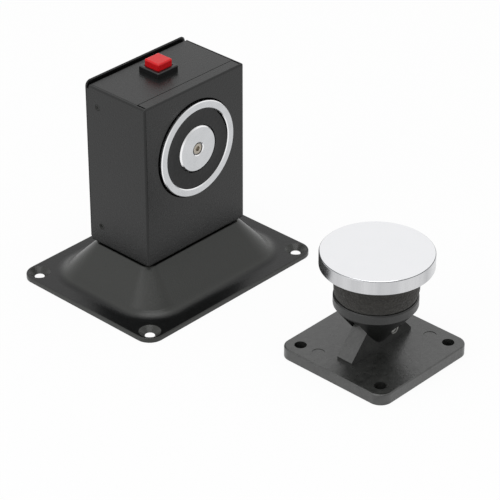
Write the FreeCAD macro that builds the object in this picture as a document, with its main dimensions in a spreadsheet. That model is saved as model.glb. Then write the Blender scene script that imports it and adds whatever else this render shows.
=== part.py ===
import FreeCAD, Part
import math
import os

import Sketcher
from FreeCAD import Placement, Rotation, Vector

# Electromagnetic door holder: a magnet unit that stands on the floor, and the
# swivelling keeper that is screwed to the door and meets it. Millimetres, +Z up.
# The origin is the centre of the floor flange's underside, and the magnet's face
# looks towards -Y.

SIZES = {
    # Floor flange and hollow pedestal, pressed from one sheet
    "flange_length": 119.0,
    "flange_width": 93.0,
    "flange_corner": 8.0,
    "flange_sheet": 2.5,
    "flange_edge": 0.6,
    "fixing_inset": 7.0,
    "fixing_hole": 5.0,
    "fixing_countersink": 11.0,
    "fixing_countersink_angle": 105.0,
    "foot_margin_x": 10.5,
    "foot_margin_y": 9.5,
    "foot_corner": 18.0,
    "foot_round": 9.0,
    "pedestal_height": 22.0,
    "pedestal_inset": 0.6,
    "pedestal_corner": 6.0,
    "pedestal_round": 1.0,
    "plinth_rise": 1.2,
    "plinth_inset": 2.6,
    # Sheet metal box
    "box_width": 68.0,
    "box_depth": 41.0,
    "box_height": 87.0,
    "shell_sheet": 1.2,
    "shell_bend": 1.0,
    "lip_depth": 6.2,
    "lip_slit": 0.9,
    "panel_seam": 0.35,
    "panel_flange": 4.5,
    "panel_bend": 0.7,
    "rear_gap": 1.6,
    "rear_notch": 1.8,
    "cover_rise": 1.6,
    "cover_edge": 0.5,
    "cover_corner": 3.0,
    "tab_length": 10.0,
    "tab_width": 9.0,
    # Screws of the box
    "side_screw": 2.5,
    "side_screw_head": 3.4,
    "side_screw_angle": 90.0,
    "side_screw_length": 5.0,
    "side_screw_inset": 10.2,
    "side_screw_setback": 7.3,
    "base_screw": 4.0,
    "base_screw_head": 7.4,
    "base_screw_head_height": 2.6,
    "base_screw_length": 7.0,
    "base_screw_inset_x": 10.0,
    "base_screw_inset_y": 11.0,
    # Holding magnet
    "magnet_drop": 33.5,
    "magnet_diameter": 50.0,
    "magnet_proud": 1.8,
    "magnet_gap": 0.8,
    "pot_length": 16.5,
    "pot_wall": 4.0,
    "pot_back": 4.0,
    "pot_chamfer": 0.4,
    "core_diameter": 24.8,
    "core_chamfer": 1.0,
    "core_bore": 3.3,
    "core_sink": 6.6,
    "core_sink_depth": 4.2,
    "bobbin_length": 9.4,
    "bobbin_wall": 1.2,
    "winding_margin": 0.6,
    "potting_recess": 0.4,
    "core_screw": 3.0,
    "core_screw_head": 5.4,
    "core_screw_head_height": 3.7,
    "core_screw_socket": 2.5,
    "core_screw_socket_depth": 1.0,
    "core_screw_tip": 1.0,
    "core_nut_flats": 5.5,
    "core_nut_height": 2.4,
    "bracket_sheet": 2.0,
    "bracket_height": 33.0,
    "bracket_flange": 10.0,
    "snug": 0.05,
    # Wiring inside the box
    "grommet_hole": 8.0,
    "grommet_bore": 5.0,
    "grommet_flange": 11.0,
    "grommet_lip": 1.6,
    "grommet_inset": 0.8,
    "block_width": 20.0,
    "block_depth": 12.0,
    "block_height": 14.0,
    "block_offset": 5.0,
    "block_pole_pitch": 5.6,
    "block_screw": 4.2,
    "block_screw_height": 3.0,
    "block_screw_well": 4.0,
    "lead_diameter": 1.6,
    "lead_hole": 2.2,
    "lead_drop": 14.5,
    "lead_bend": 4.0,
    "lead_offset": 4.0,
    # Release switch on the top panel
    "switch_x": 0.0,
    "switch_clearance": 3.8,
    "bezel_lip": 0.7,
    "bezel_height": 3.0,
    "bezel_corner": 0.8,
    "bezel_round": 0.6,
    "switch_side": 12.4,
    "switch_depth": 13.0,
    "switch_clip": 0.7,
    "switch_clip_ramp": 2.8,
    "switch_clip_width": 5.0,
    "switch_cutout_gap": 0.1,
    "switch_wall": 1.1,
    "switch_shelf": 1.8,
    "switch_base_sheet": 1.4,
    "switch_base_plug": 1.4,
    "cap_side": 9.8,
    "cap_corner": 0.9,
    "cap_round": 0.9,
    "cap_rise": 3.5,
    "cap_travel": 2.0,
    "cap_gap": 0.25,
    "cap_skirt": 2.5,
    "stem_side": 4.6,
    "stem_reach": 2.2,
    "bridge_overlap": 0.3,
    "bridge_width": 2.8,
    "bridge_sheet": 0.8,
    "spring_diameter": 4.2,
    "spring_wire": 0.45,
    "spring_turns": 4.0,
    "blade_sheet": 0.6,
    "blade_width": 2.4,
    "blade_reach": 1.0,
    "blade_tail": 4.0,
    # Keeper unit for the door
    "keeper_x": 10.0,
    "keeper_y": -129.0,
    "keeper_base_side": 65.0,
    "keeper_base_corner": 6.5,
    "keeper_base_height": 5.7,
    "keeper_base_round": 0.7,
    "keeper_hole_inset": 7.5,
    "keeper_hole": 6.0,
    "ejector_mark": 6.4,
    "ejector_mark_depth": 0.2,
    "ejector_pitch_x": 48.0,
    "ejector_pitch_y": 29.0,
    "pivot_height": 19.8,
    "pivot_pin": 4.0,
    "pivot_pin_length": 23.0,
    "pivot_play": 0.05,
    "pin_mouth": 6.6,
    "pin_mouth_y": 11.7,
    "tongue_half_foot": 21.7,
    "tongue_step": 1.2,
    "tongue_top": 7.8,
    "tongue_sheet": 9.0,
    "tongue_play": 0.35,
    "hub_diameter": 41.0,
    "hub_ring": 4.5,
    "hub_ring_height": 9.8,
    "hub_chamfer": 0.6,
    "hub_tip_drop": 9.6,
    "hub_tip_diameter": 11.4,
    "foam_diameter": 39.6,
    "foam_height": 16.0,
    "foam_bulge": 0.8,
    "foam_bore": 6.6,
    "plate_diameter": 55.0,
    "plate_thickness": 7.5,
    "plate_edge": 0.6,
    "plate_screw": 6.0,
    "plate_screw_head": 10.0,
    "plate_screw_head_height": 4.0,
    "plate_screw_socket": 4.0,
    "plate_screw_socket_depth": 2.0,
    "plate_screw_bite": 5.5,
}

# Faces and levels that several pieces share
FOOT_LENGTH = "(sizes.flange_length - 2 * sizes.foot_margin_x)"
FOOT_WIDTH = "(sizes.flange_width - 2 * sizes.foot_margin_y)"
PEDESTAL_LENGTH = "(sizes.box_width - 2 * sizes.pedestal_inset)"
PEDESTAL_WIDTH = "(sizes.box_depth - 2 * sizes.pedestal_inset)"
SHOULDER = "(sizes.pedestal_height - sizes.plinth_rise)"
HALF_BOX = "sizes.box_width / 2"
INNER_X = "(sizes.box_width / 2 - sizes.shell_sheet)"
FRONT = "(-sizes.box_depth / 2)"
COVER_INNER = "(sizes.box_depth / 2 - sizes.shell_sheet)"
PANEL_FRONT = f"({FRONT} + sizes.lip_depth + sizes.panel_seam)"
BOX_TOP = "(sizes.pedestal_height + sizes.box_height)"
BOX_FLOOR = "(sizes.pedestal_height + sizes.shell_sheet)"
BASE_SCREW_X = "(sizes.box_width / 2 - sizes.base_screw_inset_x)"
BASE_SCREW_Y = "(sizes.box_depth / 2 - sizes.base_screw_inset_y)"
SIDE_SCREW_Y = f"({COVER_INNER} - sizes.side_screw_setback)"
SIDE_SCREW_HEIGHTS = ("sizes.side_screw_inset", "(sizes.box_height - sizes.side_screw_inset)")
MAGNET_Z = f"({BOX_TOP} - sizes.magnet_drop)"
POT_REAR = f"({FRONT} - sizes.magnet_proud + sizes.pot_length)"
GROMMET_Y = f"({PANEL_FRONT} + sizes.grommet_inset + sizes.grommet_flange / 2)"
SWITCH_Y = f"({POT_REAR} + sizes.switch_clearance + sizes.switch_side / 2)"
BLOCK_Y = f"({SWITCH_Y} + sizes.block_offset)"
LEAD_Y = f"({BLOCK_Y} + sizes.lead_offset)"
BLOCK_TOP = f"({BOX_FLOOR} + sizes.block_height)"
SWITCH_BOTTOM = "(-sizes.switch_depth - sizes.switch_base_sheet)"
CAP_BOTTOM = "(sizes.bezel_height - sizes.cap_skirt)"
SHELF_TOP = f"({CAP_BOTTOM} - sizes.cap_travel - sizes.cap_gap)"
STEM_BOTTOM = f"({SHELF_TOP} - sizes.switch_shelf - sizes.stem_reach)"
SPRING_TOP = f"({STEM_BOTTOM} - sizes.bridge_sheet)"
SPRING_SEAT = "(sizes.switch_base_plug - sizes.switch_depth)"
HALF_CAVITY = "(sizes.switch_side / 2 - sizes.switch_wall)"
BLADE_INNER = f"({HALF_CAVITY} - sizes.blade_sheet)"
BLADE_HOOK = f"({BLADE_INNER} - sizes.blade_reach)"
HUB_TOP = "(sizes.hub_ring_height + sizes.hub_ring)"
SLOT_ROOF = "(sizes.tongue_top + sizes.tongue_play)"
HALF_SLOT = "(sizes.tongue_sheet / 2 + sizes.tongue_play)"
SCREW_SEAT = f"({SLOT_ROOF} + sizes.plate_screw_head_height + sizes.tongue_play)"
FOAM_TOP = f"({HUB_TOP} + sizes.foam_height)"

MAGNET_PLACE = ("0", POT_REAR, MAGNET_Z)
SWITCH_PLACE = ("sizes.switch_x", SWITCH_Y, BOX_TOP)
KEEPER_PLACE = ("sizes.keeper_x", "sizes.keeper_y", "0")
PIVOT_PLACE = ("sizes.keeper_x", "sizes.keeper_y", "sizes.pivot_height")

# Turns a piece's own +Z to look along -Y, as the magnet's axis does
FACE_FORWARD = Rotation(Vector(1, 0, 0), 90)
SIDES = {"right": 1, "left": -1}
TOLERANCE = 1e-4

NODES = []

doc = FreeCAD.newDocument("door_holder")
sheet = doc.addObject("Spreadsheet::Sheet", "sizes")
for row, (alias, number) in enumerate(SIZES.items(), start=1):
    sheet.set(f"A{row}", alias)
    sheet.set(f"B{row}", str(number))
    sheet.setAlias(f"B{row}", alias)
doc.recompute()


def value(expression):
    """The number that an expression of the sheet gives."""
    return float(sheet.evalExpression(expression))


def bind(item, expressions):
    """Ties properties of a document object to expressions of the sheet."""
    for path, expression in expressions.items():
        item.setExpression(path, expression)


def place(item, where):
    """Ties an object's position to three expressions."""
    bind(item, {f"Placement.Base.{axis}": expression for axis, expression in zip("xyz", where)})


def new_piece(label, where, turn=Rotation()):
    """An empty body, set in its place."""
    body = doc.addObject("PartDesign::Body", label)
    body.Label = label
    body.Placement = Placement(Vector(), turn)
    place(body, where)
    return body


def new_body(label, where=("0", "0", "0"), turn=Rotation()):
    """An empty body that becomes one node of the part."""
    body = new_piece(label, where, turn)
    NODES.append(body)
    return body


def new_sketch(body, name, role="XY_Plane", lift="0"):
    """A sketch on one of the body's own planes, moved along the plane's normal."""
    sketch = body.newObject("Sketcher::SketchObject", f"{body.Label}_{name}")
    plane = next(item for item in body.Origin.OriginFeatures if item.Role == role)
    sketch.AttachmentSupport = (plane, [""])
    sketch.MapMode = "FlatFace"
    sketch.setExpression("AttachmentOffset.Base.z", lift)
    return sketch


def constrain(sketch, expression, *terms):
    """A dimension of a sketch, tied to an expression."""
    index = sketch.addConstraint(Sketcher.Constraint(*terms, value(expression)))
    sketch.setExpression(f"Constraints[{index}]", expression)


def pin_point(sketch, edge, end, x, y):
    """Sets a point of an edge at x and y from the sketch's origin."""
    constrain(sketch, x, "DistanceX", -1, 1, edge, end)
    constrain(sketch, y, "DistanceY", -1, 1, edge, end)


def outline(sketch, corners):
    """A closed outline of straight edges through the given corners."""
    points = [Vector(value(x), value(y), 0) for x, y in corners]
    following = points[1:] + points[:1]
    edges = [sketch.addGeometry(Part.LineSegment(*ends)) for ends in zip(points, following)]
    for edge, after in zip(edges, edges[1:] + edges[:1]):
        sketch.addConstraint(Sketcher.Constraint("Coincident", edge, 2, after, 1))
    for edge, (x, y) in zip(edges, corners):
        pin_point(sketch, edge, 1, x, y)


def rectangle(sketch, x_low, x_high, y_low, y_high):
    """A plain rectangle between four expressions."""
    outline(sketch, [(x_low, y_low), (x_high, y_low), (x_high, y_high), (x_low, y_high)])


def rounded_rectangle(sketch, length, width, corner, centre_y="0"):
    """A rectangle about (0, centre_y), with its corners rounded as tangent arcs."""
    radius = value(corner)
    reach_x = f"(({length}) / 2 - ({corner}))"
    reach_y = f"(({width}) / 2 - ({corner}))"
    lines, arcs, quarters = [], [], []
    for quarter, (sign_x, sign_y) in enumerate([(1, 1), (-1, 1), (-1, -1), (1, -1)]):
        x = f"{sign_x} * {reach_x}"
        y = f"{sign_y} * {reach_y} + {centre_y}"
        quarters.append((x, y))
        circle_at = Part.Circle(Vector(value(x), value(y), 0), Vector(0, 0, 1), radius)
        start = quarter * math.pi / 2
        arcs.append(sketch.addGeometry(Part.ArcOfCircle(circle_at, start, start + math.pi / 2)))
    for arc, after in zip(arcs, arcs[1:] + arcs[:1]):
        ends = sketch.Geometry[arc].EndPoint, sketch.Geometry[after].StartPoint
        lines.append(sketch.addGeometry(Part.LineSegment(*ends)))
    for arc, line, after in zip(arcs, lines, arcs[1:] + arcs[:1]):
        sketch.addConstraint(Sketcher.Constraint("Tangent", arc, 2, line, 1))
        sketch.addConstraint(Sketcher.Constraint("Tangent", line, 2, after, 1))
    for arc, (x, y) in zip(arcs, quarters):
        pin_point(sketch, arc, 3, x, y)
        constrain(sketch, corner, "Radius", arc)


def circle(sketch, x, y, diameter):
    """A circle about a point."""
    centre = Vector(value(x), value(y), 0)
    edge = sketch.addGeometry(Part.Circle(centre, Vector(0, 0, 1), value(diameter) / 2))
    pin_point(sketch, edge, 3, x, y)
    constrain(sketch, diameter, "Diameter", edge)


def four_circles(sketch, pitch_x, pitch_y, diameter):
    """Circles at the corners of a rectangle about the origin."""
    for sign_x in (1, -1):
        for sign_y in (1, -1):
            circle(sketch, f"{sign_x} * ({pitch_x}) / 2", f"{sign_y} * ({pitch_y}) / 2", diameter)


def hexagon(sketch, flats, x="0", y="0"):
    """A hexagon about a point, by its width across the two flats that face up and down."""
    side = f"{flats} / 2 * tan(30)"
    point = f"{flats} / 2 / cos(30)"
    half = f"{flats} / 2"
    outline(sketch, [
        (f"{x} + {side}", f"{y} + {half}"), (f"{x} - {side}", f"{y} + {half}"), (f"{x} - {point}", y),
        (f"{x} - {side}", f"{y} - {half}"), (f"{x} + {side}", f"{y} - {half}"), (f"{x} + {point}", y),
    ])


def pad(body, sketch, length, reverse=False):
    """Adds material along the sketch's normal, or against it."""
    feature = body.newObject("PartDesign::Pad", f"{sketch.Name}_pad")
    feature.Profile = sketch
    feature.Reversed = reverse
    feature.setExpression("Length", length)


def pocket(body, sketch, depth=None, reverse=False):
    """Cuts against the sketch's normal, or along it, to a depth or right through."""
    feature = body.newObject("PartDesign::Pocket", f"{sketch.Name}_cut")
    feature.Profile = sketch
    feature.Reversed = reverse
    if depth is None:
        feature.Type = "ThroughAll"
    else:
        feature.setExpression("Length", depth)


def sunk_holes(body, sketch, diameter, sink, angle, depth=None, reverse=False):
    """Countersunk holes at a sketch's circles."""
    doc.recompute()
    feature = body.newObject("PartDesign::Hole", f"{sketch.Name}_holes")
    feature.Profile = sketch
    doc.recompute()
    feature.Threaded = False
    feature.Reversed = reverse
    feature.HoleCutType = "Countersink"
    feature.HoleCutCustomValues = True
    bind(feature, {"Diameter": diameter, "HoleCutDiameter": sink, "HoleCutCountersinkAngle": angle})
    if depth is None:
        feature.DepthType = "ThroughAll"
    else:
        feature.DepthType = "Dimension"
        feature.DrillPoint = "Flat"
        feature.setExpression("Depth", depth)
    doc.recompute()


def revolve(body, name, corners):
    """A turned form: an outline in radius and height, about the body's Z axis."""
    sketch = new_sketch(body, name, "XZ_Plane")
    outline(sketch, corners)
    spin(body, sketch)


def spin(body, sketch):
    """Turns a sketch once about its own vertical axis."""
    feature = body.newObject("PartDesign::Revolution", f"{sketch.Name}_turn")
    feature.Profile = sketch
    feature.ReferenceAxis = (sketch, ["V_Axis"])
    feature.Angle = 360


def loft(body, kind, name, sections):
    """A straight loft through rounded rectangles, from (height, length, width, corner)."""
    sketches = []
    for index, (height, length, width, corner) in enumerate(sections):
        sketch = new_sketch(body, f"{name}_{index}", lift=height)
        rounded_rectangle(sketch, length, width, corner)
        sketches.append(sketch)
    feature = body.newObject(f"PartDesign::{kind}", f"{body.Label}_{name}")
    feature.Profile = sketches[0]
    feature.Sections = sketches[1:]
    feature.Ruled = True


def round_edges(body, name, size, chosen, kind="Fillet"):
    """Rounds or chamfers the body's edges that a test picks by their bounding box."""
    doc.recompute()
    base = body.Tip
    numbered = enumerate(base.Shape.Edges, start=1)
    picked = [f"Edge{index}" for index, edge in numbered if chosen(edge.BoundBox)]
    feature = body.newObject(f"PartDesign::{kind}", f"{body.Label}_{name}")
    feature.Base = (base, picked)
    feature.setExpression("Radius" if kind == "Fillet" else "Size", size)


def level(low, high, at):
    """True where both ends of a range lie at one value."""
    return abs(low - at) < TOLERANCE and abs(high - at) < TOLERANCE


def channel(body, name, role, lift, length, half, sheet_size, flange, up):
    """A sheet folded to a channel: a web at the axis and a flange at each side."""
    sketch = new_sketch(body, name, role, lift)
    inner = f"({half} - {sheet_size})"
    web = f"{up} * {sheet_size}"
    tip = f"{up} * ({flange})"
    outline(sketch, [
        (f"-{half}", "0"), (half, "0"), (half, tip), (inner, tip),
        (inner, web), (f"-{inner}", web), (f"-{inner}", tip), (f"-{half}", tip),
    ])
    pad(body, sketch, length)


def mirrored_four(label, solid, first, second, base_z="0"):
    """A node of four like pieces, mirrored about two planes."""
    pieces = solid
    for step, normal in enumerate((first, second)):
        twin = doc.addObject("Part::Mirroring", f"{label}_twin_{step}")
        twin.Source = pieces
        twin.Normal = normal
        twin.setExpression("Base.z", base_z)
        pair = doc.addObject("Part::Compound", f"{label}_{step}")
        pair.Links = [pieces, twin]
        pieces = pair
    pieces.Label = label
    NODES.append(pieces)


def floor_flange():
    """Floor flange with four countersunk holes, and the hollow pedestal and low plinth pressed up from it."""
    body = new_body("floor_flange")
    sketch = new_sketch(body, "outline")
    rounded_rectangle(sketch, "sizes.flange_length", "sizes.flange_width", "sizes.flange_corner")
    pad(body, sketch, "sizes.flange_sheet")
    sheet_top = value("sizes.flange_sheet")
    round_edges(body, "edge_round", "sizes.flange_edge", lambda box: level(box.ZMin, box.ZMax, sheet_top))
    loft(body, "AdditiveLoft", "pedestal", [
        ("sizes.flange_sheet", FOOT_LENGTH, FOOT_WIDTH, "sizes.foot_corner"),
        (SHOULDER, PEDESTAL_LENGTH, PEDESTAL_WIDTH, "sizes.pedestal_corner"),
    ])
    wall = "sizes.flange_sheet"
    loft(body, "SubtractiveLoft", "hollow", [
        ("0", f"{FOOT_LENGTH} - {wall}", f"{FOOT_WIDTH} - {wall}", f"sizes.foot_corner - {wall} / 2"),
        (f"sizes.pedestal_height - {wall}", f"{PEDESTAL_LENGTH} - 2 * {wall}",
         f"{PEDESTAL_WIDTH} - 2 * {wall}", f"sizes.pedestal_corner - {wall} / 2"),
    ])
    half_foot = value(f"{FOOT_LENGTH} / 2") + TOLERANCE
    round_edges(body, "foot_round", "sizes.foot_round", lambda box: level(box.ZMin, box.ZMax, sheet_top)
                and box.XMax < half_foot and box.XMin > -half_foot)
    shoulder = value(SHOULDER)
    round_edges(body, "top_round", "sizes.pedestal_round", lambda box: level(box.ZMin, box.ZMax, shoulder))
    plinth = new_sketch(body, "plinth", lift=SHOULDER)
    rounded_rectangle(plinth, f"{PEDESTAL_LENGTH} - 2 * sizes.plinth_inset",
                      f"{PEDESTAL_WIDTH} - 2 * sizes.plinth_inset", "sizes.pedestal_corner")
    pad(body, plinth, "sizes.plinth_rise")
    fixings = new_sketch(body, "fixings", lift="sizes.flange_sheet")
    four_circles(fixings, "sizes.flange_length - 2 * sizes.fixing_inset",
                 "sizes.flange_width - 2 * sizes.fixing_inset", "sizes.fixing_hole")
    sunk_holes(body, fixings, "sizes.fixing_hole", "sizes.fixing_countersink",
               "sizes.fixing_countersink_angle")
    entries = new_sketch(body, "entries", lift="sizes.pedestal_height")
    floor_holes(entries)
    pocket(body, entries)


def floor_holes(sketch):
    """Holes that the pedestal and the bottom plate share: the screws' and the cable's."""
    four_circles(sketch, f"2 * {BASE_SCREW_X}", f"2 * {BASE_SCREW_Y}", "sizes.base_screw + 2 * sizes.snug")
    circle(sketch, "0", GROMMET_Y, "sizes.grommet_hole + 2 * sizes.snug")


def housing_shell():
    """Front, sides and front lips of the box, folded from one sheet."""
    body = new_body("housing_shell", ("0", "0", "sizes.pedestal_height"))
    inner_front = f"{FRONT} + sizes.shell_sheet"
    wrap = new_sketch(body, "wrap")
    outline(wrap, [
        (f"-{HALF_BOX}", COVER_INNER), (f"-{HALF_BOX}", FRONT),
        (HALF_BOX, FRONT), (HALF_BOX, COVER_INNER),
        (INNER_X, COVER_INNER), (INNER_X, inner_front),
        (f"-{INNER_X}", inner_front), (f"-{INNER_X}", COVER_INNER),
    ])
    pad(body, wrap, "sizes.box_height")
    lip_end = f"({INNER_X} - sizes.lip_slit)"
    for name, lift in (("lip_top", "sizes.box_height - sizes.shell_sheet"), ("lip_bottom", "0")):
        lip = new_sketch(body, name, lift=lift)
        rectangle(lip, f"-{lip_end}", lip_end, inner_front, f"{FRONT} + sizes.lip_depth")
        pad(body, lip, "sizes.shell_sheet")
    front = value(FRONT)
    height = value("sizes.box_height")
    round_edges(body, "lip_bend", "sizes.shell_bend", lambda box: level(box.YMin, box.YMax, front)
                and (level(box.ZMin, box.ZMax, 0) or level(box.ZMin, box.ZMax, height)))
    half = value(HALF_BOX)
    round_edges(body, "side_bend", "sizes.shell_bend", lambda box: level(box.YMin, box.YMax, front)
                and box.ZLength > height / 2 and abs(abs(box.XMin) - half) < TOLERANCE)
    mouth = new_sketch(body, "mouth", "XZ_Plane", "sizes.box_depth / 2")
    circle(mouth, "0", "sizes.box_height - sizes.magnet_drop",
           "sizes.magnet_diameter + 2 * sizes.magnet_gap")
    pocket(body, mouth, "sizes.shell_sheet")
    notch = new_sketch(body, "notch", "YZ_Plane", HALF_BOX)
    rectangle(notch, f"{COVER_INNER} - sizes.rear_gap", COVER_INNER,
              "sizes.box_height - sizes.rear_notch", "sizes.box_height")
    pocket(body, notch)
    bore = "sizes.side_screw + 2 * sizes.snug"
    sink = "sizes.side_screw_head + 2 * sizes.snug"
    for name, side, reverse in (("right_screws", HALF_BOX, False), ("left_screws", f"-{HALF_BOX}", True)):
        holes = new_sketch(body, name, "YZ_Plane", side)
        side_screw_holes(holes, bore)
        sunk_holes(body, holes, bore, sink, "sizes.side_screw_angle", "sizes.shell_sheet", reverse)


def side_screw_holes(sketch, diameter):
    """The two screw places of a side, on a sketch in Y and Z from the box's base."""
    for height in SIDE_SCREW_HEIGHTS:
        circle(sketch, SIDE_SCREW_Y, height, diameter)


def top_panel():
    """Top of the box behind the front lip, with the switch's square cut-out."""
    body = new_body("top_panel", ("0", "0", BOX_TOP))
    rear = f"({COVER_INNER} - sizes.rear_gap)"
    channel(body, "fold", "XZ_Plane", f"-{rear}", f"{rear} - {PANEL_FRONT}", INNER_X,
            "sizes.shell_sheet", "sizes.panel_flange", -1)
    bend_outer(body)
    half = "(sizes.switch_side / 2 + sizes.switch_cutout_gap)"
    cutout = new_sketch(body, "cutout")
    rectangle(cutout, f"sizes.switch_x - {half}", f"sizes.switch_x + {half}",
              f"{SWITCH_Y} - {half}", f"{SWITCH_Y} + {half}")
    pocket(body, cutout, "sizes.shell_sheet")


def bend_outer(body):
    """Rounds the two outer folds of a panel whose web lies at its own zero level."""
    half = value(INNER_X)
    round_edges(body, "bend", "sizes.panel_bend", lambda box: level(box.ZMin, box.ZMax, 0)
                and (level(box.XMin, box.XMax, half) or level(box.XMin, box.XMax, -half)))


def bottom_plate():
    """Bottom of the box, screwed down on the pedestal."""
    body = new_body("bottom_plate", ("0", "0", "sizes.pedestal_height"))
    channel(body, "fold", "XZ_Plane", f"-{COVER_INNER}", f"{COVER_INNER} - {PANEL_FRONT}", INNER_X,
            "sizes.shell_sheet", "sizes.panel_flange", 1)
    bend_outer(body)
    holes = new_sketch(body, "holes", lift="sizes.shell_sheet")
    floor_holes(holes)
    pocket(body, holes, "sizes.shell_sheet")


def rear_cover():
    """Rear sheet with rounded corners, and four tabs that take the side screws."""
    body = new_body("rear_cover", ("0", "0", "sizes.pedestal_height"))
    height = "(sizes.box_height + sizes.cover_rise)"
    face = new_sketch(body, "face", "XZ_Plane", FRONT)
    rounded_rectangle(face, "sizes.box_width", height, "sizes.cover_corner", f"{height} / 2")
    pad(body, face, "sizes.shell_sheet")
    round_edges(body, "edge_break", "sizes.cover_edge", lambda box: box.YLength < TOLERANCE, "Chamfer")
    tabs = new_sketch(body, "tabs", "XZ_Plane", f"-{COVER_INNER}")
    for side in (1, -1):
        for middle in SIDE_SCREW_HEIGHTS:
            near = f"{side} * {INNER_X}"
            far = f"{side} * ({INNER_X} - sizes.shell_sheet)"
            rectangle(tabs, far, near,
                      f"{middle} - sizes.tab_width / 2", f"{middle} + sizes.tab_width / 2")
    pad(body, tabs, "sizes.tab_length")
    threads = new_sketch(body, "threads", "YZ_Plane", HALF_BOX)
    side_screw_holes(threads, "sizes.side_screw + 2 * sizes.snug")
    pocket(body, threads)


def side_screws():
    """Four small countersunk screws, flush in the sides."""
    head = doc.addObject("Part::Cone", "side_screw_head")
    shank = doc.addObject("Part::Cylinder", "side_screw_shank")
    drop = "((sizes.side_screw_head - sizes.side_screw) / 2 / tan(sizes.side_screw_angle / 2))"
    bind(head, {"Radius1": "sizes.side_screw / 2", "Radius2": "sizes.side_screw_head / 2", "Height": drop})
    bind(shank, {"Radius": "sizes.side_screw / 2", "Height": f"sizes.side_screw_length - {drop}"})
    screw_z = f"{BOX_TOP} - sizes.side_screw_inset"
    for piece, start in ((head, f"{HALF_BOX} - {drop}"), (shank, f"{HALF_BOX} - sizes.side_screw_length")):
        piece.Placement = Placement(Vector(), Rotation(Vector(0, 1, 0), 90))
        place(piece, (start, SIDE_SCREW_Y, screw_z))
    screw = doc.addObject("Part::Fuse", "side_screw_whole")
    screw.Base = head
    screw.Tool = shank
    mirrored_four("side_screws", screw, Vector(1, 0, 0), Vector(0, 0, 1),
                  "sizes.pedestal_height + sizes.box_height / 2")


def base_screws():
    """Four pan-head screws that hold the box on the pedestal."""
    head = doc.addObject("Part::Cylinder", "base_screw_head_disc")
    shank = doc.addObject("Part::Cylinder", "base_screw_shank")
    bind(head, {"Radius": "sizes.base_screw_head / 2", "Height": "sizes.base_screw_head_height"})
    bind(shank, {"Radius": "sizes.base_screw / 2", "Height": "sizes.base_screw_length"})
    for piece, start in ((head, BOX_FLOOR), (shank, f"{BOX_FLOOR} - sizes.base_screw_length")):
        place(piece, (BASE_SCREW_X, BASE_SCREW_Y, start))
    screw = doc.addObject("Part::Fuse", "base_screw_whole")
    screw.Base = head
    screw.Tool = shank
    mirrored_four("base_screws", screw, Vector(1, 0, 0), Vector(0, 1, 0))


def magnet_pot():
    """Turned iron yoke: ring wall, back and core in one piece, its face at the top."""
    body = new_body("magnet_pot", MAGNET_PLACE, FACE_FORWARD)
    rim = "sizes.magnet_diameter / 2"
    inner = f"({rim} - sizes.pot_wall)"
    core = "sizes.core_diameter / 2"
    bore = "sizes.core_bore / 2"
    sink = "sizes.core_sink / 2"
    seat = "sizes.pot_length - sizes.core_sink_depth"
    face = "sizes.pot_length"
    edge = "sizes.pot_chamfer"
    shoulder = f"({face} - {edge})"
    revolve(body, "section", [
        (bore, "0"), (rim, "0"), (rim, shoulder), (f"{rim} - {edge}", face), (f"{inner} + {edge}", face),
        (inner, shoulder), (inner, "sizes.pot_back"), (core, "sizes.pot_back"),
        (core, f"{face} - sizes.core_chamfer"), (f"{core} - sizes.core_chamfer", face),
        (f"{sink} + {edge}", face), (sink, shoulder), (sink, seat), (bore, seat),
    ])
    exits = new_sketch(body, "exits")
    lead_holes(exits, "-sizes.lead_drop")
    pocket(body, exits, "sizes.pot_back", True)


def lead_holes(sketch, height):
    """The two lead holes below the magnet's axis."""
    for side in (1, -1):
        circle(sketch, f"{side} * sizes.block_pole_pitch / 2", height, "sizes.lead_hole")


def coil():
    """Bobbin, winding and resin ring, stacked in the yoke's groove."""
    inner = "(sizes.core_diameter / 2 + sizes.snug)"
    outer = "(sizes.magnet_diameter / 2 - sizes.pot_wall - sizes.snug)"
    barrel = f"({inner} + sizes.bobbin_wall)"
    low = "sizes.pot_back"
    low_flange = f"({low} + sizes.bobbin_wall)"
    high = f"({low} + sizes.bobbin_length)"
    high_flange = f"({high} - sizes.bobbin_wall)"
    bobbin = new_body("coil_bobbin", MAGNET_PLACE, FACE_FORWARD)
    revolve(bobbin, "section", [
        (inner, low), (outer, low), (outer, low_flange), (barrel, low_flange),
        (barrel, high_flange), (outer, high_flange), (outer, high), (inner, high),
    ])
    winding = new_body("coil_winding", MAGNET_PLACE, FACE_FORWARD)
    wound_in = f"({barrel} + sizes.snug)"
    wound_out = f"({outer} - sizes.winding_margin)"
    revolve(winding, "section", [
        (wound_in, low_flange), (wound_out, low_flange), (wound_out, high_flange), (wound_in, high_flange),
    ])
    resin = new_body("potting_ring", MAGNET_PLACE, FACE_FORWARD)
    resin_top = "sizes.pot_length - sizes.potting_recess"
    revolve(resin, "section", [(inner, high), (outer, high), (outer, resin_top), (inner, resin_top)])


def core_fastening():
    """Socket screw through the core, and the nut behind the bracket."""
    screw = new_body("core_screw", MAGNET_PLACE, FACE_FORWARD)
    seat = "(sizes.pot_length - sizes.core_sink_depth)"
    head_top = f"({seat} + sizes.core_screw_head_height)"
    tip = "(-sizes.bracket_sheet - sizes.core_nut_height - sizes.core_screw_tip)"
    shank = "sizes.core_screw / 2"
    head = "sizes.core_screw_head / 2"
    revolve(screw, "section", [
        ("0", tip), (shank, tip), (shank, seat), (head, seat), (head, head_top), ("0", head_top),
    ])
    socket = new_sketch(screw, "socket", lift=head_top)
    hexagon(socket, "sizes.core_screw_socket")
    pocket(screw, socket, "sizes.core_screw_socket_depth")
    nut = new_body("core_nut", MAGNET_PLACE, FACE_FORWARD)
    flats = new_sketch(nut, "flats", lift="-sizes.bracket_sheet")
    hexagon(flats, "sizes.core_nut_flats")
    circle(flats, "0", "0", "sizes.core_screw + 2 * sizes.snug")
    pad(nut, flats, "sizes.core_nut_height", True)


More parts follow.
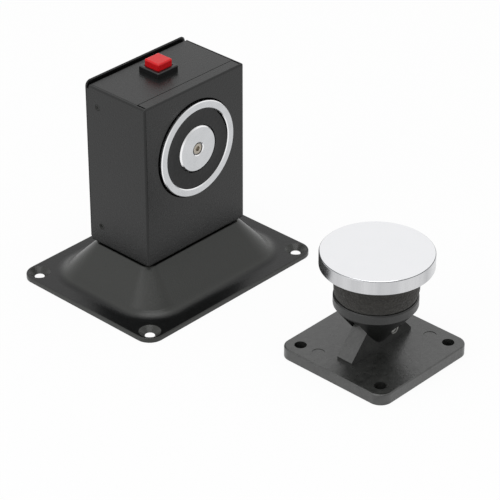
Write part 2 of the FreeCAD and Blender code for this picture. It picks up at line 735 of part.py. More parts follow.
def magnet_bracket():
    """Folded bracket behind the yoke, its flanges flat against the sides."""
    body = new_body("magnet_bracket", ("0", POT_REAR, f"{MAGNET_Z} - sizes.bracket_height / 2"))
    channel(body, "fold", "XY_Plane", "0", "sizes.bracket_height", INNER_X,
            "sizes.bracket_sheet", "sizes.bracket_flange", 1)
    holes = new_sketch(body, "holes", "XZ_Plane")
    circle(holes, "0", "sizes.bracket_height / 2", "sizes.core_bore")
    lead_holes(holes, "sizes.bracket_height / 2 - sizes.lead_drop")
    pocket(body, holes, "sizes.bracket_sheet")


def cable_grommet():
    """Soft grommet, its groove round the edges of the pedestal and the bottom plate."""
    body = new_body("cable_grommet", ("0", GROMMET_Y, "sizes.pedestal_height"))
    bore = "sizes.grommet_bore / 2"
    waist = "sizes.grommet_hole / 2"
    rim = "sizes.grommet_flange / 2"
    low = "-sizes.flange_sheet"
    high = "sizes.shell_sheet"
    under = f"{low} - sizes.grommet_lip"
    over = f"{high} + sizes.grommet_lip"
    revolve(body, "section", [
        (bore, under), (rim, under), (rim, low), (waist, low),
        (waist, high), (rim, high), (rim, over), (bore, over),
    ])


def terminal_block():
    """Two-pole screw terminal on the box's floor, and its clamping screws."""
    body = new_body("terminal_block", ("0", BLOCK_Y, BOX_FLOOR))
    half = "sizes.block_width / 2"
    deep = "sizes.block_depth / 2"
    plan = new_sketch(body, "plan")
    rectangle(plan, f"-{half}", half, f"-{deep}", deep)
    pad(body, plan, "sizes.block_height")
    wells = new_sketch(body, "wells", lift="sizes.block_height")
    for side in (1, -1):
        circle(wells, f"{side} * sizes.block_pole_pitch / 2", "0", "sizes.block_screw + 2 * sizes.snug")
    pocket(body, wells, "sizes.block_screw_well")
    screws = []
    for side in (1, -1):
        screw = doc.addObject("Part::Cylinder", "terminal_screw")
        bind(screw, {"Radius": "sizes.block_screw / 2", "Height": "sizes.block_screw_height"})
        place(screw, (f"{side} * sizes.block_pole_pitch / 2", BLOCK_Y,
                      f"{BLOCK_TOP} - sizes.block_screw_well"))
        screws.append(screw)
    group("terminal_screws", screws)


def group(label, solids):
    """A node of separate solids."""
    compound = doc.addObject("Part::Compound", label)
    compound.Label = label
    compound.Links = solids
    NODES.append(compound)


def coil_leads():
    """Two insulated leads from the bobbin, out of the yoke and down to the terminals."""
    leads = []
    start = f"({POT_REAR} - sizes.pot_back)"
    height = f"{MAGNET_Z} - sizes.lead_drop"
    for name, side in SIDES.items():
        lead = new_piece(f"coil_lead_{name}", (f"{side} * sizes.block_pole_pitch / 2", "0", "0"))
        route = new_sketch(lead, "route", "YZ_Plane")
        bent_route(route, start, height, LEAD_Y, BLOCK_TOP, "sizes.lead_bend")
        section = new_sketch(lead, "section", "XZ_Plane", f"-{start}")
        circle(section, "0", height, "sizes.lead_diameter")
        pipe = lead.newObject("PartDesign::AdditivePipe", f"coil_lead_pipe_{name}")
        pipe.Profile = section
        pipe.Spine = route
        leads.append(lead)
    group("coil_leads", leads)


def bent_route(sketch, start_y, start_z, end_y, end_z, bend):
    """A level run, a quarter bend and a drop, in a sketch of Y and Z."""
    corner = Vector(value(end_y) - value(bend), value(start_z) - value(bend), 0)
    arc_circle = Part.Circle(corner, Vector(0, 0, 1), value(bend))
    arc = sketch.addGeometry(Part.ArcOfCircle(arc_circle, 0, math.pi / 2))
    run_ends = Vector(value(start_y), value(start_z), 0), corner + Vector(0, value(bend), 0)
    run = sketch.addGeometry(Part.LineSegment(*run_ends))
    drop_ends = corner + Vector(value(bend), 0, 0), Vector(value(end_y), value(end_z), 0)
    drop = sketch.addGeometry(Part.LineSegment(*drop_ends))
    sketch.addConstraint(Sketcher.Constraint("Tangent", run, 2, arc, 2))
    sketch.addConstraint(Sketcher.Constraint("Tangent", arc, 1, drop, 1))
    pin_point(sketch, run, 1, start_y, start_z)
    pin_point(sketch, drop, 2, end_y, end_z)
    sketch.addConstraint(Sketcher.Constraint("Horizontal", run))
    constrain(sketch, bend, "Radius", arc)


def switch_leads():
    """Two insulated leads that drop from the switch's blades to the terminals."""
    leads = []
    blade_foot = f"({BOX_TOP} + {SWITCH_BOTTOM} - sizes.blade_tail)"
    for side in (1, -1):
        lead = doc.addObject("Part::Cylinder", "switch_lead")
        bind(lead, {"Radius": "sizes.lead_diameter / 2", "Height": f"{blade_foot} - {BLOCK_TOP}"})
        place(lead, (f"sizes.switch_x + {side} * ({HALF_CAVITY} - sizes.blade_sheet / 2)",
                     SWITCH_Y, BLOCK_TOP))
        leads.append(lead)
    group("switch_leads", leads)


def switch_body():
    """Square snap-in switch case: bezel, well for the cap, guide shelf and contact chamber."""
    body = new_body("switch_body", SWITCH_PLACE)
    bezel = new_sketch(body, "bezel")
    bezel_side = "sizes.switch_side + 2 * sizes.bezel_lip"
    rounded_rectangle(bezel, bezel_side, bezel_side, "sizes.bezel_corner")
    pad(body, bezel, "sizes.bezel_height")
    top = value("sizes.bezel_height")
    round_edges(body, "bezel_round", "sizes.bezel_round", lambda box: level(box.ZMin, box.ZMax, top))
    case = new_sketch(body, "case")
    square(case, "sizes.switch_side")
    pad(body, case, "sizes.switch_depth", True)
    half = "sizes.switch_side / 2"
    catch = "-sizes.shell_sheet - sizes.switch_cutout_gap"
    clips = new_sketch(body, "clips", "XZ_Plane", "-sizes.switch_clip_width / 2")
    for side in (1, -1):
        outline(clips, [
            (f"{side} * {half}", catch), (f"{side} * ({half} + sizes.switch_clip)", catch),
            (f"{side} * {half}", f"{catch} - sizes.switch_clip_ramp"),
        ])
    pad(body, clips, "sizes.switch_clip_width")
    well = new_sketch(body, "well", lift="sizes.bezel_height")
    square(well, "sizes.cap_side + 2 * sizes.cap_gap")
    pocket(body, well, f"sizes.bezel_height - {SHELF_TOP}")
    guide = new_sketch(body, "guide", lift=SHELF_TOP)
    square(guide, "sizes.stem_side + 2 * sizes.cap_gap")
    pocket(body, guide)
    chamber = new_sketch(body, "chamber", lift="-sizes.switch_depth")
    square(chamber, f"2 * {HALF_CAVITY}")
    pocket(body, chamber, f"sizes.switch_depth + {SHELF_TOP} - sizes.switch_shelf", True)


def square(sketch, side):
    """A square about the origin."""
    half = f"({side}) / 2"
    rectangle(sketch, f"-{half}", half, f"-{half}", half)


def switch_base():
    """Cover under the switch case, with a raised seat for the spring and slots for the blades."""
    body = new_body("switch_base", SWITCH_PLACE)
    cover = new_sketch(body, "cover", lift="-sizes.switch_depth")
    square(cover, "sizes.switch_side")
    pad(body, cover, "sizes.switch_base_sheet", True)
    plug = new_sketch(body, "plug", lift="-sizes.switch_depth")
    square(plug, f"2 * ({HALF_CAVITY} - sizes.snug)")
    pad(body, plug, "sizes.switch_base_plug")
    slots = new_sketch(body, "slots", lift=SPRING_SEAT)
    wide = "(sizes.blade_width / 2 + sizes.snug)"
    for side in (1, -1):
        rectangle(slots, f"{side} * ({HALF_CAVITY} - sizes.blade_sheet - sizes.snug)",
                  f"{side} * {HALF_CAVITY}", f"-{wide}", wide)
    pocket(body, slots)


def switch_terminals():
    """Two contact blades, folded over the bridge at the top and standing out below."""
    blades = []
    outer = f"({HALF_CAVITY} - sizes.snug)"
    foot = f"{SWITCH_BOTTOM} - sizes.blade_tail"
    catch = f"({STEM_BOTTOM} + sizes.snug)"
    for name, side in SIDES.items():
        blade = new_piece(f"switch_blade_{name}", SWITCH_PLACE)
        profile = new_sketch(blade, "profile", "XZ_Plane", "-sizes.blade_width / 2")
        outline(profile, [
            (f"{side} * {outer}", foot), (f"{side} * {outer}", f"{catch} + sizes.blade_sheet"),
            (f"{side} * {BLADE_HOOK}", f"{catch} + sizes.blade_sheet"), (f"{side} * {BLADE_HOOK}", catch),
            (f"{side} * {BLADE_INNER}", catch), (f"{side} * {BLADE_INNER}", foot),
        ])
        pad(blade, profile, "sizes.blade_width")
        blades.append(blade)
    group("switch_terminals", blades)


def button_cap():
    """Red cap with its square stem, moulded in one."""
    body = new_body("button_cap", SWITCH_PLACE)
    cap = new_sketch(body, "cap", lift=CAP_BOTTOM)
    rounded_rectangle(cap, "sizes.cap_side", "sizes.cap_side", "sizes.cap_corner")
    pad(body, cap, "sizes.cap_skirt + sizes.cap_rise")
    top = value("sizes.bezel_height + sizes.cap_rise")
    round_edges(body, "cap_round", "sizes.cap_round", lambda box: level(box.ZMin, box.ZMax, top))
    stem = new_sketch(body, "stem", lift=CAP_BOTTOM)
    square(stem, "sizes.stem_side")
    pad(body, stem, f"{CAP_BOTTOM} - {STEM_BOTTOM}", True)


def contact_bridge():
    """Metal strip under the stem that joins the two blades until the button is pressed."""
    body = new_body("contact_bridge", SWITCH_PLACE)
    plan = new_sketch(body, "plan", lift=STEM_BOTTOM)
    half = f"({BLADE_HOOK} + sizes.bridge_overlap)"
    rectangle(plan, f"-{half}", half, "-sizes.bridge_width / 2", "sizes.bridge_width / 2")
    pad(body, plan, "sizes.bridge_sheet", True)


def return_spring():
    """Coil spring between the base's seat and the bridge."""
    body = new_body("return_spring", SWITCH_PLACE)
    height = f"({SPRING_TOP} - {SPRING_SEAT} - sizes.spring_wire)"
    section = new_sketch(body, "section", "XZ_Plane")
    hexagon(section, "sizes.spring_wire", "(sizes.spring_diameter - sizes.spring_wire) / 2",
            f"({SPRING_SEAT} + sizes.spring_wire / 2)")
    coils = body.newObject("PartDesign::AdditiveHelix", "return_spring_coils")
    coils.Profile = section
    coils.ReferenceAxis = (section, ["V_Axis"])
    coils.Mode = "pitch-height-angle"
    bind(coils, {"Height": height, "Pitch": f"{height} / sizes.spring_turns"})


def armature_base():
    """Moulded door plate with fixing holes, ejector marks and the tongue that carries the pin."""
    body = new_body("armature_base", KEEPER_PLACE)
    plan = new_sketch(body, "plan")
    rounded_rectangle(plan, "sizes.keeper_base_side", "sizes.keeper_base_side", "sizes.keeper_base_corner")
    pad(body, plan, "sizes.keeper_base_height")
    top = value("sizes.keeper_base_height")
    round_edges(body, "top_round", "sizes.keeper_base_round", lambda box: level(box.ZMin, box.ZMax, top))
    tongue = new_sketch(body, "tongue", "XZ_Plane", "-sizes.tongue_sheet / 2")
    tongue_outline(tongue)
    pad(body, tongue, "sizes.tongue_sheet")
    bore = new_sketch(body, "bore", "XZ_Plane", "sizes.tongue_sheet / 2")
    circle(bore, "0", "sizes.pivot_height", "sizes.pivot_pin + 2 * sizes.pivot_play")
    pocket(body, bore, "sizes.tongue_sheet")
    fixings = new_sketch(body, "fixings", lift="sizes.keeper_base_height")
    pitch = "sizes.keeper_base_side - 2 * sizes.keeper_hole_inset"
    four_circles(fixings, pitch, pitch, "sizes.keeper_hole")
    pocket(body, fixings)
    marks = new_sketch(body, "marks", lift="sizes.keeper_base_height")
    four_circles(marks, "sizes.ejector_pitch_x", "sizes.ejector_pitch_y", "sizes.ejector_mark")
    pocket(body, marks, "sizes.ejector_mark_depth")


def tongue_outline(sketch):
    """A low step at each end, then sloped flanks that close in an arc about the pin."""
    low = "sizes.keeper_base_height"
    high = f"{low} + sizes.tongue_step"
    foot = value("sizes.tongue_half_foot")
    base = value(low)
    shoulder = value(high)
    pivot = Vector(0, value("sizes.pivot_height"), 0)
    radius = value("sizes.tongue_top")
    reach = math.hypot(foot, pivot.y - shoulder)
    lean = math.acos(radius / reach) - math.atan2(pivot.y - shoulder, foot)
    crown = Part.ArcOfCircle(Part.Circle(pivot, Vector(0, 0, 1), radius), lean, math.pi - lean)
    arc = sketch.addGeometry(crown)
    corners = [
        crown.EndPoint, Vector(-foot, shoulder, 0), Vector(-foot, base, 0),
        Vector(foot, base, 0), Vector(foot, shoulder, 0), crown.StartPoint,
    ]
    edges = [sketch.addGeometry(Part.LineSegment(*ends)) for ends in zip(corners, corners[1:])]
    left, left_step, sole, right_step, right = edges
    sketch.addConstraint(Sketcher.Constraint("Tangent", right, 2, arc, 1))
    sketch.addConstraint(Sketcher.Constraint("Tangent", arc, 2, left, 1))
    for edge, after in zip(edges, edges[1:]):
        sketch.addConstraint(Sketcher.Constraint("Coincident", edge, 2, after, 1))
    pin_point(sketch, left_step, 1, "-sizes.tongue_half_foot", high)
    pin_point(sketch, sole, 1, "-sizes.tongue_half_foot", low)
    pin_point(sketch, right_step, 1, "sizes.tongue_half_foot", low)
    pin_point(sketch, right, 1, "sizes.tongue_half_foot", high)
    pin_point(sketch, arc, 3, "0", "sizes.pivot_height")
    constrain(sketch, "sizes.tongue_top", "Radius", arc)


def swivel_hub():
    """Moulded ring and cone, slotted to straddle the tongue and bored for the cross pin."""
    body = new_body("swivel_hub", PIVOT_PLACE)
    rim = "sizes.hub_diameter / 2"
    tip = "sizes.hub_tip_diameter / 2"
    revolve(body, "section", [
        ("0", "-sizes.hub_tip_drop"), (tip, "-sizes.hub_tip_drop"), (rim, "sizes.hub_ring_height"),
        (rim, f"{HUB_TOP} - sizes.hub_chamfer"), (f"{rim} - sizes.hub_chamfer", HUB_TOP), ("0", HUB_TOP),
    ])
    slot = new_sketch(body, "slot", "YZ_Plane", rim)
    rectangle(slot, f"-{HALF_SLOT}", HALF_SLOT, "-sizes.hub_tip_drop", SLOT_ROOF)
    pocket(body, slot)
    bore = new_sketch(body, "bore", "XZ_Plane", rim)
    circle(bore, "0", "0", "sizes.pivot_pin + 2 * sizes.snug")
    pocket(body, bore)
    for name, side, reverse in (("front_mouth", 1, False), ("rear_mouth", -1, True)):
        mouth = new_sketch(body, name, "XZ_Plane", f"{side} * {rim}")
        circle(mouth, "0", "0", "sizes.pin_mouth")
        pocket(body, mouth, f"{rim} - sizes.pin_mouth_y", reverse)
    seat = new_sketch(body, "seat", lift=SLOT_ROOF)
    circle(seat, "0", "0", "sizes.plate_screw_head + 2 * sizes.tongue_play")
    pocket(body, seat, f"{SCREW_SEAT} - {SLOT_ROOF}", True)
    shank = new_sketch(body, "shank", lift=SCREW_SEAT)
    circle(shank, "0", "0", "sizes.plate_screw + 2 * sizes.snug")
    pocket(body, shank, None, True)


def pivot_pin():
    """Plain steel cross pin, held in the hub's cheeks."""
    pin = doc.addObject("Part::Cylinder", "pivot_pin")
    pin.Label = "pivot_pin"
    pin.Placement = Placement(Vector(), FACE_FORWARD)
    bind(pin, {"Radius": "sizes.pivot_pin / 2", "Height": "sizes.pivot_pin_length"})
    place(pin, ("sizes.keeper_x", "sizes.keeper_y + sizes.pivot_pin_length / 2", "sizes.pivot_height"))
    NODES.append(pin)


def foam_collar():
    """Soft collar between hub and plate, a little fuller at mid height."""
    body = new_body("foam_collar", PIVOT_PLACE)
    sketch = new_sketch(body, "section", "XZ_Plane")
    rim = "sizes.foam_diameter / 2"
    bore = "sizes.foam_bore / 2"
    swell = "((sizes.foam_height ^ 2 / 4 + sizes.foam_bulge ^ 2) / 2 / sizes.foam_bulge)"
    low_rim = Vector(value(rim), value(HUB_TOP), 0)
    high_rim = Vector(value(rim), value(FOAM_TOP), 0)
    middle = (low_rim + high_rim) / 2 + Vector(value("sizes.foam_bulge"), 0, 0)
    low_bore = Vector(value(bore), value(HUB_TOP), 0)
    high_bore = Vector(value(bore), value(FOAM_TOP), 0)
    side = sketch.addGeometry(Part.Arc(low_rim, middle, high_rim))
    top = sketch.addGeometry(Part.LineSegment(high_rim, high_bore))
    hole = sketch.addGeometry(Part.LineSegment(high_bore, low_bore))
    sole = sketch.addGeometry(Part.LineSegment(low_bore, low_rim))
    for edge, after in zip((side, top, hole, sole), (top, hole, sole, side)):
        sketch.addConstraint(Sketcher.Constraint("Coincident", edge, 2, after, 1))
    pin_point(sketch, top, 1, rim, FOAM_TOP)
    pin_point(sketch, hole, 1, bore, FOAM_TOP)
    pin_point(sketch, sole, 1, bore, HUB_TOP)
    pin_point(sketch, sole, 2, rim, HUB_TOP)
    constrain(sketch, swell, "Radius", side)
    spin(body, sketch)


def armature_plate():
    """Plated steel disc that the magnet holds, with a blind thread in its back."""
    body = new_body("armature_plate", PIVOT_PLACE)
    rim = "sizes.plate_diameter / 2"
    edge = "sizes.plate_edge"
    low = FOAM_TOP
    high = f"({FOAM_TOP} + sizes.plate_thickness)"
    bore = "(sizes.plate_screw / 2 + sizes.snug)"
    blind = f"({FOAM_TOP} + sizes.plate_screw_bite + sizes.tongue_play)"
    revolve(body, "section", [
        (bore, low), (f"{rim} - {edge}", low), (rim, f"{low} + {edge}"), (rim, f"{high} - {edge}"),
        (f"{rim} - {edge}", high), ("0", high), ("0", blind), (bore, blind),
    ])


def plate_screw():
    """Socket screw from the hub's slot up into the disc."""
    body = new_body("plate_screw", PIVOT_PLACE)
    head = "sizes.plate_screw_head / 2"
    shank = "sizes.plate_screw / 2"
    low = f"({SCREW_SEAT} - sizes.plate_screw_head_height)"
    tip = f"({FOAM_TOP} + sizes.plate_screw_bite)"
    revolve(body, "section", [
        ("0", low), (head, low), (head, SCREW_SEAT), (shank, SCREW_SEAT), (shank, tip), ("0", tip),
    ])
    socket = new_sketch(body, "socket", lift=low)
    hexagon(socket, "sizes.plate_screw_socket")
    pocket(body, socket, "sizes.plate_screw_socket_depth", True)


def check_document():
    """Stops if any object failed, any cut removed nothing or any node isn't a valid solid."""
    cuts = ("PartDesign::Pocket", "PartDesign::Hole", "PartDesign::SubtractiveLoft")
    for item in doc.Objects:
        if "Invalid" in item.State or "Error" in item.State:
            raise RuntimeError(f"{item.Name} failed: {item.State}")
        if item.TypeId in cuts and item.Shape.Volume > item.BaseFeature.Shape.Volume - TOLERANCE:
            raise RuntimeError(f"{item.Name} cuts nothing")
    for node in NODES:
        if node.Shape.isNull() or not node.Shape.isValid() or not node.Shape.Solids:
            raise RuntimeError(f"{node.Label} is not a valid solid")


for build in (
    floor_flange, housing_shell, top_panel, bottom_plate, rear_cover, side_screws, base_screws,
    magnet_pot, coil, core_fastening, magnet_bracket, cable_grommet, terminal_block, coil_leads,
    switch_leads, switch_body, switch_base, switch_terminals, button_cap, contact_bridge,
    return_spring, armature_base, swivel_hub, pivot_pin, foam_collar, armature_plate, plate_screw,
):
    build()
    doc.recompute()

check_document()
os.makedirs("parts", exist_ok=True)
for node in NODES:
    node.Shape.exportStep(f"parts/{node.Label}.step")
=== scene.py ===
"""Looks of an electromagnetic door holder: the magnet unit on the floor and the keeper for the door.

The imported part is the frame. Its nodes stay where they are and get their finishes here, and the
pieces whose fine form shows close up are modelled again in the same places. Metres, +Z up.
"""
import logging
import math
from collections.abc import Callable
from dataclasses import dataclass
from enum import Enum
from functools import cache

import bmesh
import bpy
from mathutils import Matrix, Vector, noise


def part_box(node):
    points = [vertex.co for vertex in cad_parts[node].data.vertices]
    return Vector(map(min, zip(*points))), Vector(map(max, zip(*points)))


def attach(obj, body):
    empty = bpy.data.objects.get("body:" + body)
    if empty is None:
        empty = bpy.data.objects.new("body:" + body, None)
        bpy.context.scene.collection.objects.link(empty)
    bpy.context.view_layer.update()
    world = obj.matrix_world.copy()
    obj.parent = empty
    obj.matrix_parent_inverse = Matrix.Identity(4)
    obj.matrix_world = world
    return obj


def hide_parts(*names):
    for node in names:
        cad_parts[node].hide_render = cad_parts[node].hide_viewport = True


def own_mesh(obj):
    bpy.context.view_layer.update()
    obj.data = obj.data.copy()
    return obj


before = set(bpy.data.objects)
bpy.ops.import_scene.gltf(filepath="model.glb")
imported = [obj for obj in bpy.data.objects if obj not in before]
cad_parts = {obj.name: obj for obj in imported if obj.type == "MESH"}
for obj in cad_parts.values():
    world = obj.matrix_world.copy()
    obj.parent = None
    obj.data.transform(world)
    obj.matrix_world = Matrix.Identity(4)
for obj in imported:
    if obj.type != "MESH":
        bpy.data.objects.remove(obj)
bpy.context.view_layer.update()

MM = 0.001

# Sockets of the Mix node that carry colour
MIX_A = 6
MIX_B = 7
MIX_RESULT = 2

# Squared cosine between a face and its axis, for the painted highlight on slopes: below the first it is a
# slope, above the second it is flat
SLOPE_SQUARE = 0.75
FLAT_SQUARE = 0.95

# Layers of finer noise within soft patches, grain and tool marks
DRIFT_DETAIL = 4.0
GRAIN_DETAIL = 3.0
RING_DETAIL = 2.0

# Folds sharper than the first stay edges, and points nearer than the second become one
SHARP_DEG = 40.0
WELD = 0.001 * MM

# Lays the axis of a turned piece along Y instead of Z
ALONG_Y = Matrix.Rotation(math.radians(90), 4, "X")

Point = tuple[float, float, float]
Profile = list[tuple[float, float]]
Flaws = tuple[tuple[float, float, float], ...]
Ring = list[bmesh.types.BMVert]
Inputs = dict[str | int, object]
log = logging.getLogger("door_holder")


def middle(node: str) -> Point:
    """Centre of a node's box at rest."""
    low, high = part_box(node)
    return tuple((start + end) / 2 for start, end in zip(low, high))


def foot(node: str) -> Matrix:
    """Upright axis that stands in the middle of a node's underside."""
    centre = middle(node)
    return Matrix.Translation((centre[0], centre[1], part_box(node)[0][2]))


class Body(Enum):
    """The bodies of the part that pieces ride on."""

    HOLDER = "holder"
    KEEPER_HEAD = "keeper_head"


class Axis(Enum):
    """An axis that a piece was turned about, or that its flat faces look along."""

    Y = (0.0, 1.0, 0.0)
    Z = (0.0, 0.0, 1.0)


def linear(hex_colour: str) -> tuple[float, float, float, float]:
    """Turns an sRGB colour into linear light.

    Args:
        hex_colour: six hex digits after a hash sign.

    Returns:
        Linear red, green and blue, and an alpha of one.
    """
    shares = [int(hex_colour[at:at + 2], 16) / 255 for at in (1, 3, 5)]
    red, green, blue = [
        share / 12.92 if share <= 0.04045 else ((share + 0.055) / 1.055) ** 2.4 for share in shares
    ]
    return red, green, blue, 1.0


def per_metre(size_mm: float) -> float:
    """Texture scale at which a pattern's features are about the given millimetres across."""
    return 1.0 / (size_mm * MM)


def hump(share: float) -> float:
    """A smooth rise from zero at both ends of a span to one in its middle."""
    return 4 * share * (1 - share)


def set_inputs(tree: bpy.types.NodeTree, node: bpy.types.Node, inputs: Inputs) -> None:
    """Sets a node's inputs, or links them where the value is another node's socket.

    Args:
        tree: the node tree that the node is in.
        node: the node to set.
        inputs: values or sockets by the input's name or number.
    """
    for name, source in inputs.items():
        if isinstance(source, bpy.types.NodeSocket):
            tree.links.new(source, node.inputs[name])
        else:
            node.inputs[name].default_value = source


def add_node(tree: bpy.types.NodeTree, kind: str, inputs: Inputs, **settings: object) -> bpy.types.Node:
    """Adds a shader node with its settings and links.

    Args:
        tree: the node tree to add to.
        kind: the node's type, without its common prefix.
        inputs: values or sockets by the input's name or number.
        settings: properties of the node itself.

    Returns:
        The new node.
    """
    node = tree.nodes.new(f"ShaderNode{kind}")
    for name, setting in settings.items():
        setattr(node, name, setting)
    set_inputs(tree, node, inputs)
    return node


@dataclass(frozen=True)
class Finish:
    """A surface: its colour with a soft drift, its gloss, and a fine relief that every real one has.

    Attributes:
        name: what it is made of and how.
        colour: main colour.
        tint: the colour that it drifts to in patches.
        roughness: middle of the gloss range.
        grain_mm: size of the relief's features.
        relief_mm: height of the relief.
        drift_mm: size of the patches of colour.
        spread: how far the gloss varies about its middle.
        metallic: one for bare or plated metal.
        ior: index of refraction, which a metal leaves at the default.
        axis: what its flat faces look along, and what a turned one was turned about.
        slope: a lighter colour painted where the surface turns away from that axis, as a painted highlight,
            if set.
    """

    name: str
    colour: str
    tint: str
    roughness: float
    grain_mm: float
    relief_mm: float
    drift_mm: float = 9.0
    spread: float = 0.05
    metallic: float = 0.0
    ior: float = 1.5
    axis: Axis = Axis.Z
    slope: str = ""

    def make(self) -> bpy.types.Material:
        """Builds the material.

        Returns:
            A material with a dressed Principled shader.
        """
        material = bpy.data.materials.new(self.name)
        material.use_nodes = True
        tree = material.node_tree
        shader = tree.nodes["Principled BSDF"]
        place = add_node(tree, "TexCoord", {}).outputs["Object"]
        height = self.relief(tree, place)
        gloss = add_node(tree, "MapRange", {
            "Value": height, "To Min": self.roughness - self.spread, "To Max": self.roughness + self.spread,
        })
        bump = add_node(tree, "Bump", {"Height": height, "Distance": self.relief_mm * MM})
        set_inputs(tree, shader, {
            "Base Color": self.tone(tree, place), "Roughness": gloss.outputs["Result"],
            "Normal": bump.outputs["Normal"], "Metallic": self.metallic, "IOR": self.ior,
        })
        self.extras(tree, shader)
        return material

    def relief(self, tree: bpy.types.NodeTree, place: bpy.types.NodeSocket) -> bpy.types.NodeSocket:
        """Height pattern of the surface, by default an even grain.

        Args:
            tree: the material's nodes.
            place: position on the part.

        Returns:
            A socket with heights from zero to one.
        """
        grain = add_node(tree, "TexNoise", {
            "Vector": place, "Scale": per_metre(self.grain_mm), "Detail": GRAIN_DETAIL,
        })
        return grain.outputs["Fac"]

    def tone(self, tree: bpy.types.NodeTree, place: bpy.types.NodeSocket) -> bpy.types.NodeSocket:
        """Colour of the surface, which drifts in soft patches and may carry a painted highlight on its
        slopes.

        Args:
            tree: the material's nodes.
            place: position on the part.

        Returns:
            A socket with the colour.
        """
        drift = add_node(tree, "TexNoise", {
            "Vector": self.patch_place(tree, place), "Scale": per_metre(self.drift_mm),
            "Detail": DRIFT_DETAIL,
        })
        mixed = add_node(tree, "Mix", {
            "Factor": drift.outputs["Fac"], MIX_A: linear(self.colour), MIX_B: linear(self.tint),
        }, data_type="RGBA")
        if not self.slope:
            return mixed.outputs[MIX_RESULT]
        facing = add_node(tree, "TexCoord", {}).outputs["Normal"]
        dot = add_node(tree, "VectorMath", {0: facing, 1: self.axis.value}, operation="DOT_PRODUCT")
        square = add_node(tree, "Math", {0: dot.outputs["Value"], 1: 2.0}, operation="POWER")
        flat = add_node(tree, "MapRange", {
            "Value": square.outputs["Value"], "From Min": SLOPE_SQUARE, "From Max": FLAT_SQUARE,
        })
        faced = add_node(tree, "Mix", {
            "Factor": flat.outputs["Result"], MIX_A: linear(self.slope), MIX_B: mixed.outputs[MIX_RESULT],
        }, data_type="RGBA")
        return faced.outputs[MIX_RESULT]

    def patch_place(self, tree: bpy.types.NodeTree, place: bpy.types.NodeSocket) -> bpy.types.NodeSocket:
        """Position at which the patches of colour are read."""
        return place

    def extras(self, tree: bpy.types.NodeTree, shader: bpy.types.Node) -> None:
        """Settings of the shader that only some finishes have."""


@dataclass(frozen=True)
class TurnedMetal(Finish):
    """Metal cut on a lathe: fine rings round one axis, which draw highlights out across them.

    Attributes:
        centre: a point on the axis that it was turned about.
        anisotropy: how far the rings stretch the highlights.
    """

    centre: Point = (0.0, 0.0, 0.0)
    anisotropy: float = 0.0

    def relief(self, tree: bpy.types.NodeTree, place: bpy.types.NodeSocket) -> bpy.types.NodeSocket:
        """Rings by the distance from the axis and along it.

        Args:
            tree: the material's nodes.
            place: position on the part.

        Returns:
            A socket with heights from zero to one.
        """
        along = add_node(tree, "VectorMath", {0: place, 1: self.axis.value}, operation="DOT_PRODUCT")
        radius = add_node(tree, "VectorMath", {0: self.patch_place(tree, place)}, operation="LENGTH")
        pair = add_node(tree, "CombineXYZ", {"X": radius.outputs["Value"], "Y": along.outputs["Value"]})
        rings = add_node(tree, "TexNoise", {
            "Vector": pair.outputs["Vector"], "Scale": per_metre(self.grain_mm),
            "Detail": RING_DETAIL,
        }, noise_dimensions="2D")
        return rings.outputs["Fac"]

    def patch_place(self, tree: bpy.types.NodeTree, place: bpy.types.NodeSocket) -> bpy.types.NodeSocket:
        """Position across the axis only, so that patches run along a turned side as bands.

        Args:
            tree: the material's nodes.
            place: position on the part.

        Returns:
            A socket with the arm from the axis.
        """
        across = tuple(1.0 - share for share in self.axis.value)
        offset = add_node(tree, "VectorMath", {0: place, 1: self.centre}, operation="SUBTRACT")
        arm = add_node(tree, "VectorMath", {0: offset.outputs["Vector"], 1: across}, operation="MULTIPLY")
        return arm.outputs["Vector"]

    def extras(self, tree: bpy.types.NodeTree, shader: bpy.types.Node) -> None:
        """Lays the stretched highlights along the rings."""
        tangent = add_node(tree, "Tangent", {}, direction_type="RADIAL", axis=self.axis.name)
        set_inputs(tree, shader, {"Anisotropic": self.anisotropy, "Tangent": tangent.outputs["Tangent"]})


@dataclass(frozen=True)
class CellularFoam(Finish):
    """Closed-cell foam: a skin of tiny cut bubbles, dull and a little velvety at its edges.

    Attributes:
        velvet: weight of the soft sheen.
        velvet_roughness: how widely it spreads.
    """

    velvet: float = 0.1
    velvet_roughness: float = 0.6

    def relief(self, tree: bpy.types.NodeTree, place: bpy.types.NodeSocket) -> bpy.types.NodeSocket:
        """Round cells packed side by side.

        Args:
            tree: the material's nodes.
            place: position on the part.

        Returns:
            A socket with heights from zero to one.
        """
        cells = add_node(tree, "TexVoronoi", {"Vector": place, "Scale": per_metre(self.grain_mm)})
        return cells.outputs["Distance"]

    def extras(self, tree: bpy.types.NodeTree, shader: bpy.types.Node) -> None:
        """Adds the sheen of cut cell walls."""
        set_inputs(tree, shader, {
            "Sheen Weight": self.velvet, "Sheen Roughness": self.velvet_roughness,
        })


# A pixel of the photograph covers about half a millimetre. The paint's orange peel has its real size
# and is drawn deeper. The grain of mouldings, the foam's cells and the tool marks on metal are a few
# times finer on the real object, and are drawn coarser so that they still show.

# Sheet steel, phosphated and powder-coated: a satin black skin with a fine orange peel, which
# breaks up the reflections of the bright room into a soft grey sheen
POWDER_COAT = Finish(
    name="powder_coated_steel_satin_black", colour="#0b0c0c", tint="#111212", roughness=0.3,
    grain_mm=0.9, relief_mm=0.07, spread=0.1, ior=1.44,
)
# The same coat on the pressed sheet, with light painted in: a deeper black on the flat flange as
# painted shade, and a lighter grey on the pedestal's slopes as painted sheen
COAT_PAINTED_SHEEN = Finish(
    name="powder_coated_steel_black_painted_sheen", colour="#070808", tint="#0b0c0c", roughness=0.32,
    grain_mm=0.9, relief_mm=0.07, spread=0.1, ior=1.38, slope="#343533",
)
# Hub in glass-filled nylon from a spark-eroded mould: charcoal, with a dull grain, drawn coarser
# than the real one
FILLED_NYLON = Finish(
    name="glass_filled_nylon_moulded_charcoal", colour="#060707", tint="#1e1f1e", roughness=0.4,
    grain_mm=1.2, relief_mm=0.11, drift_mm=3.0, spread=0.1, ior=1.6,
)
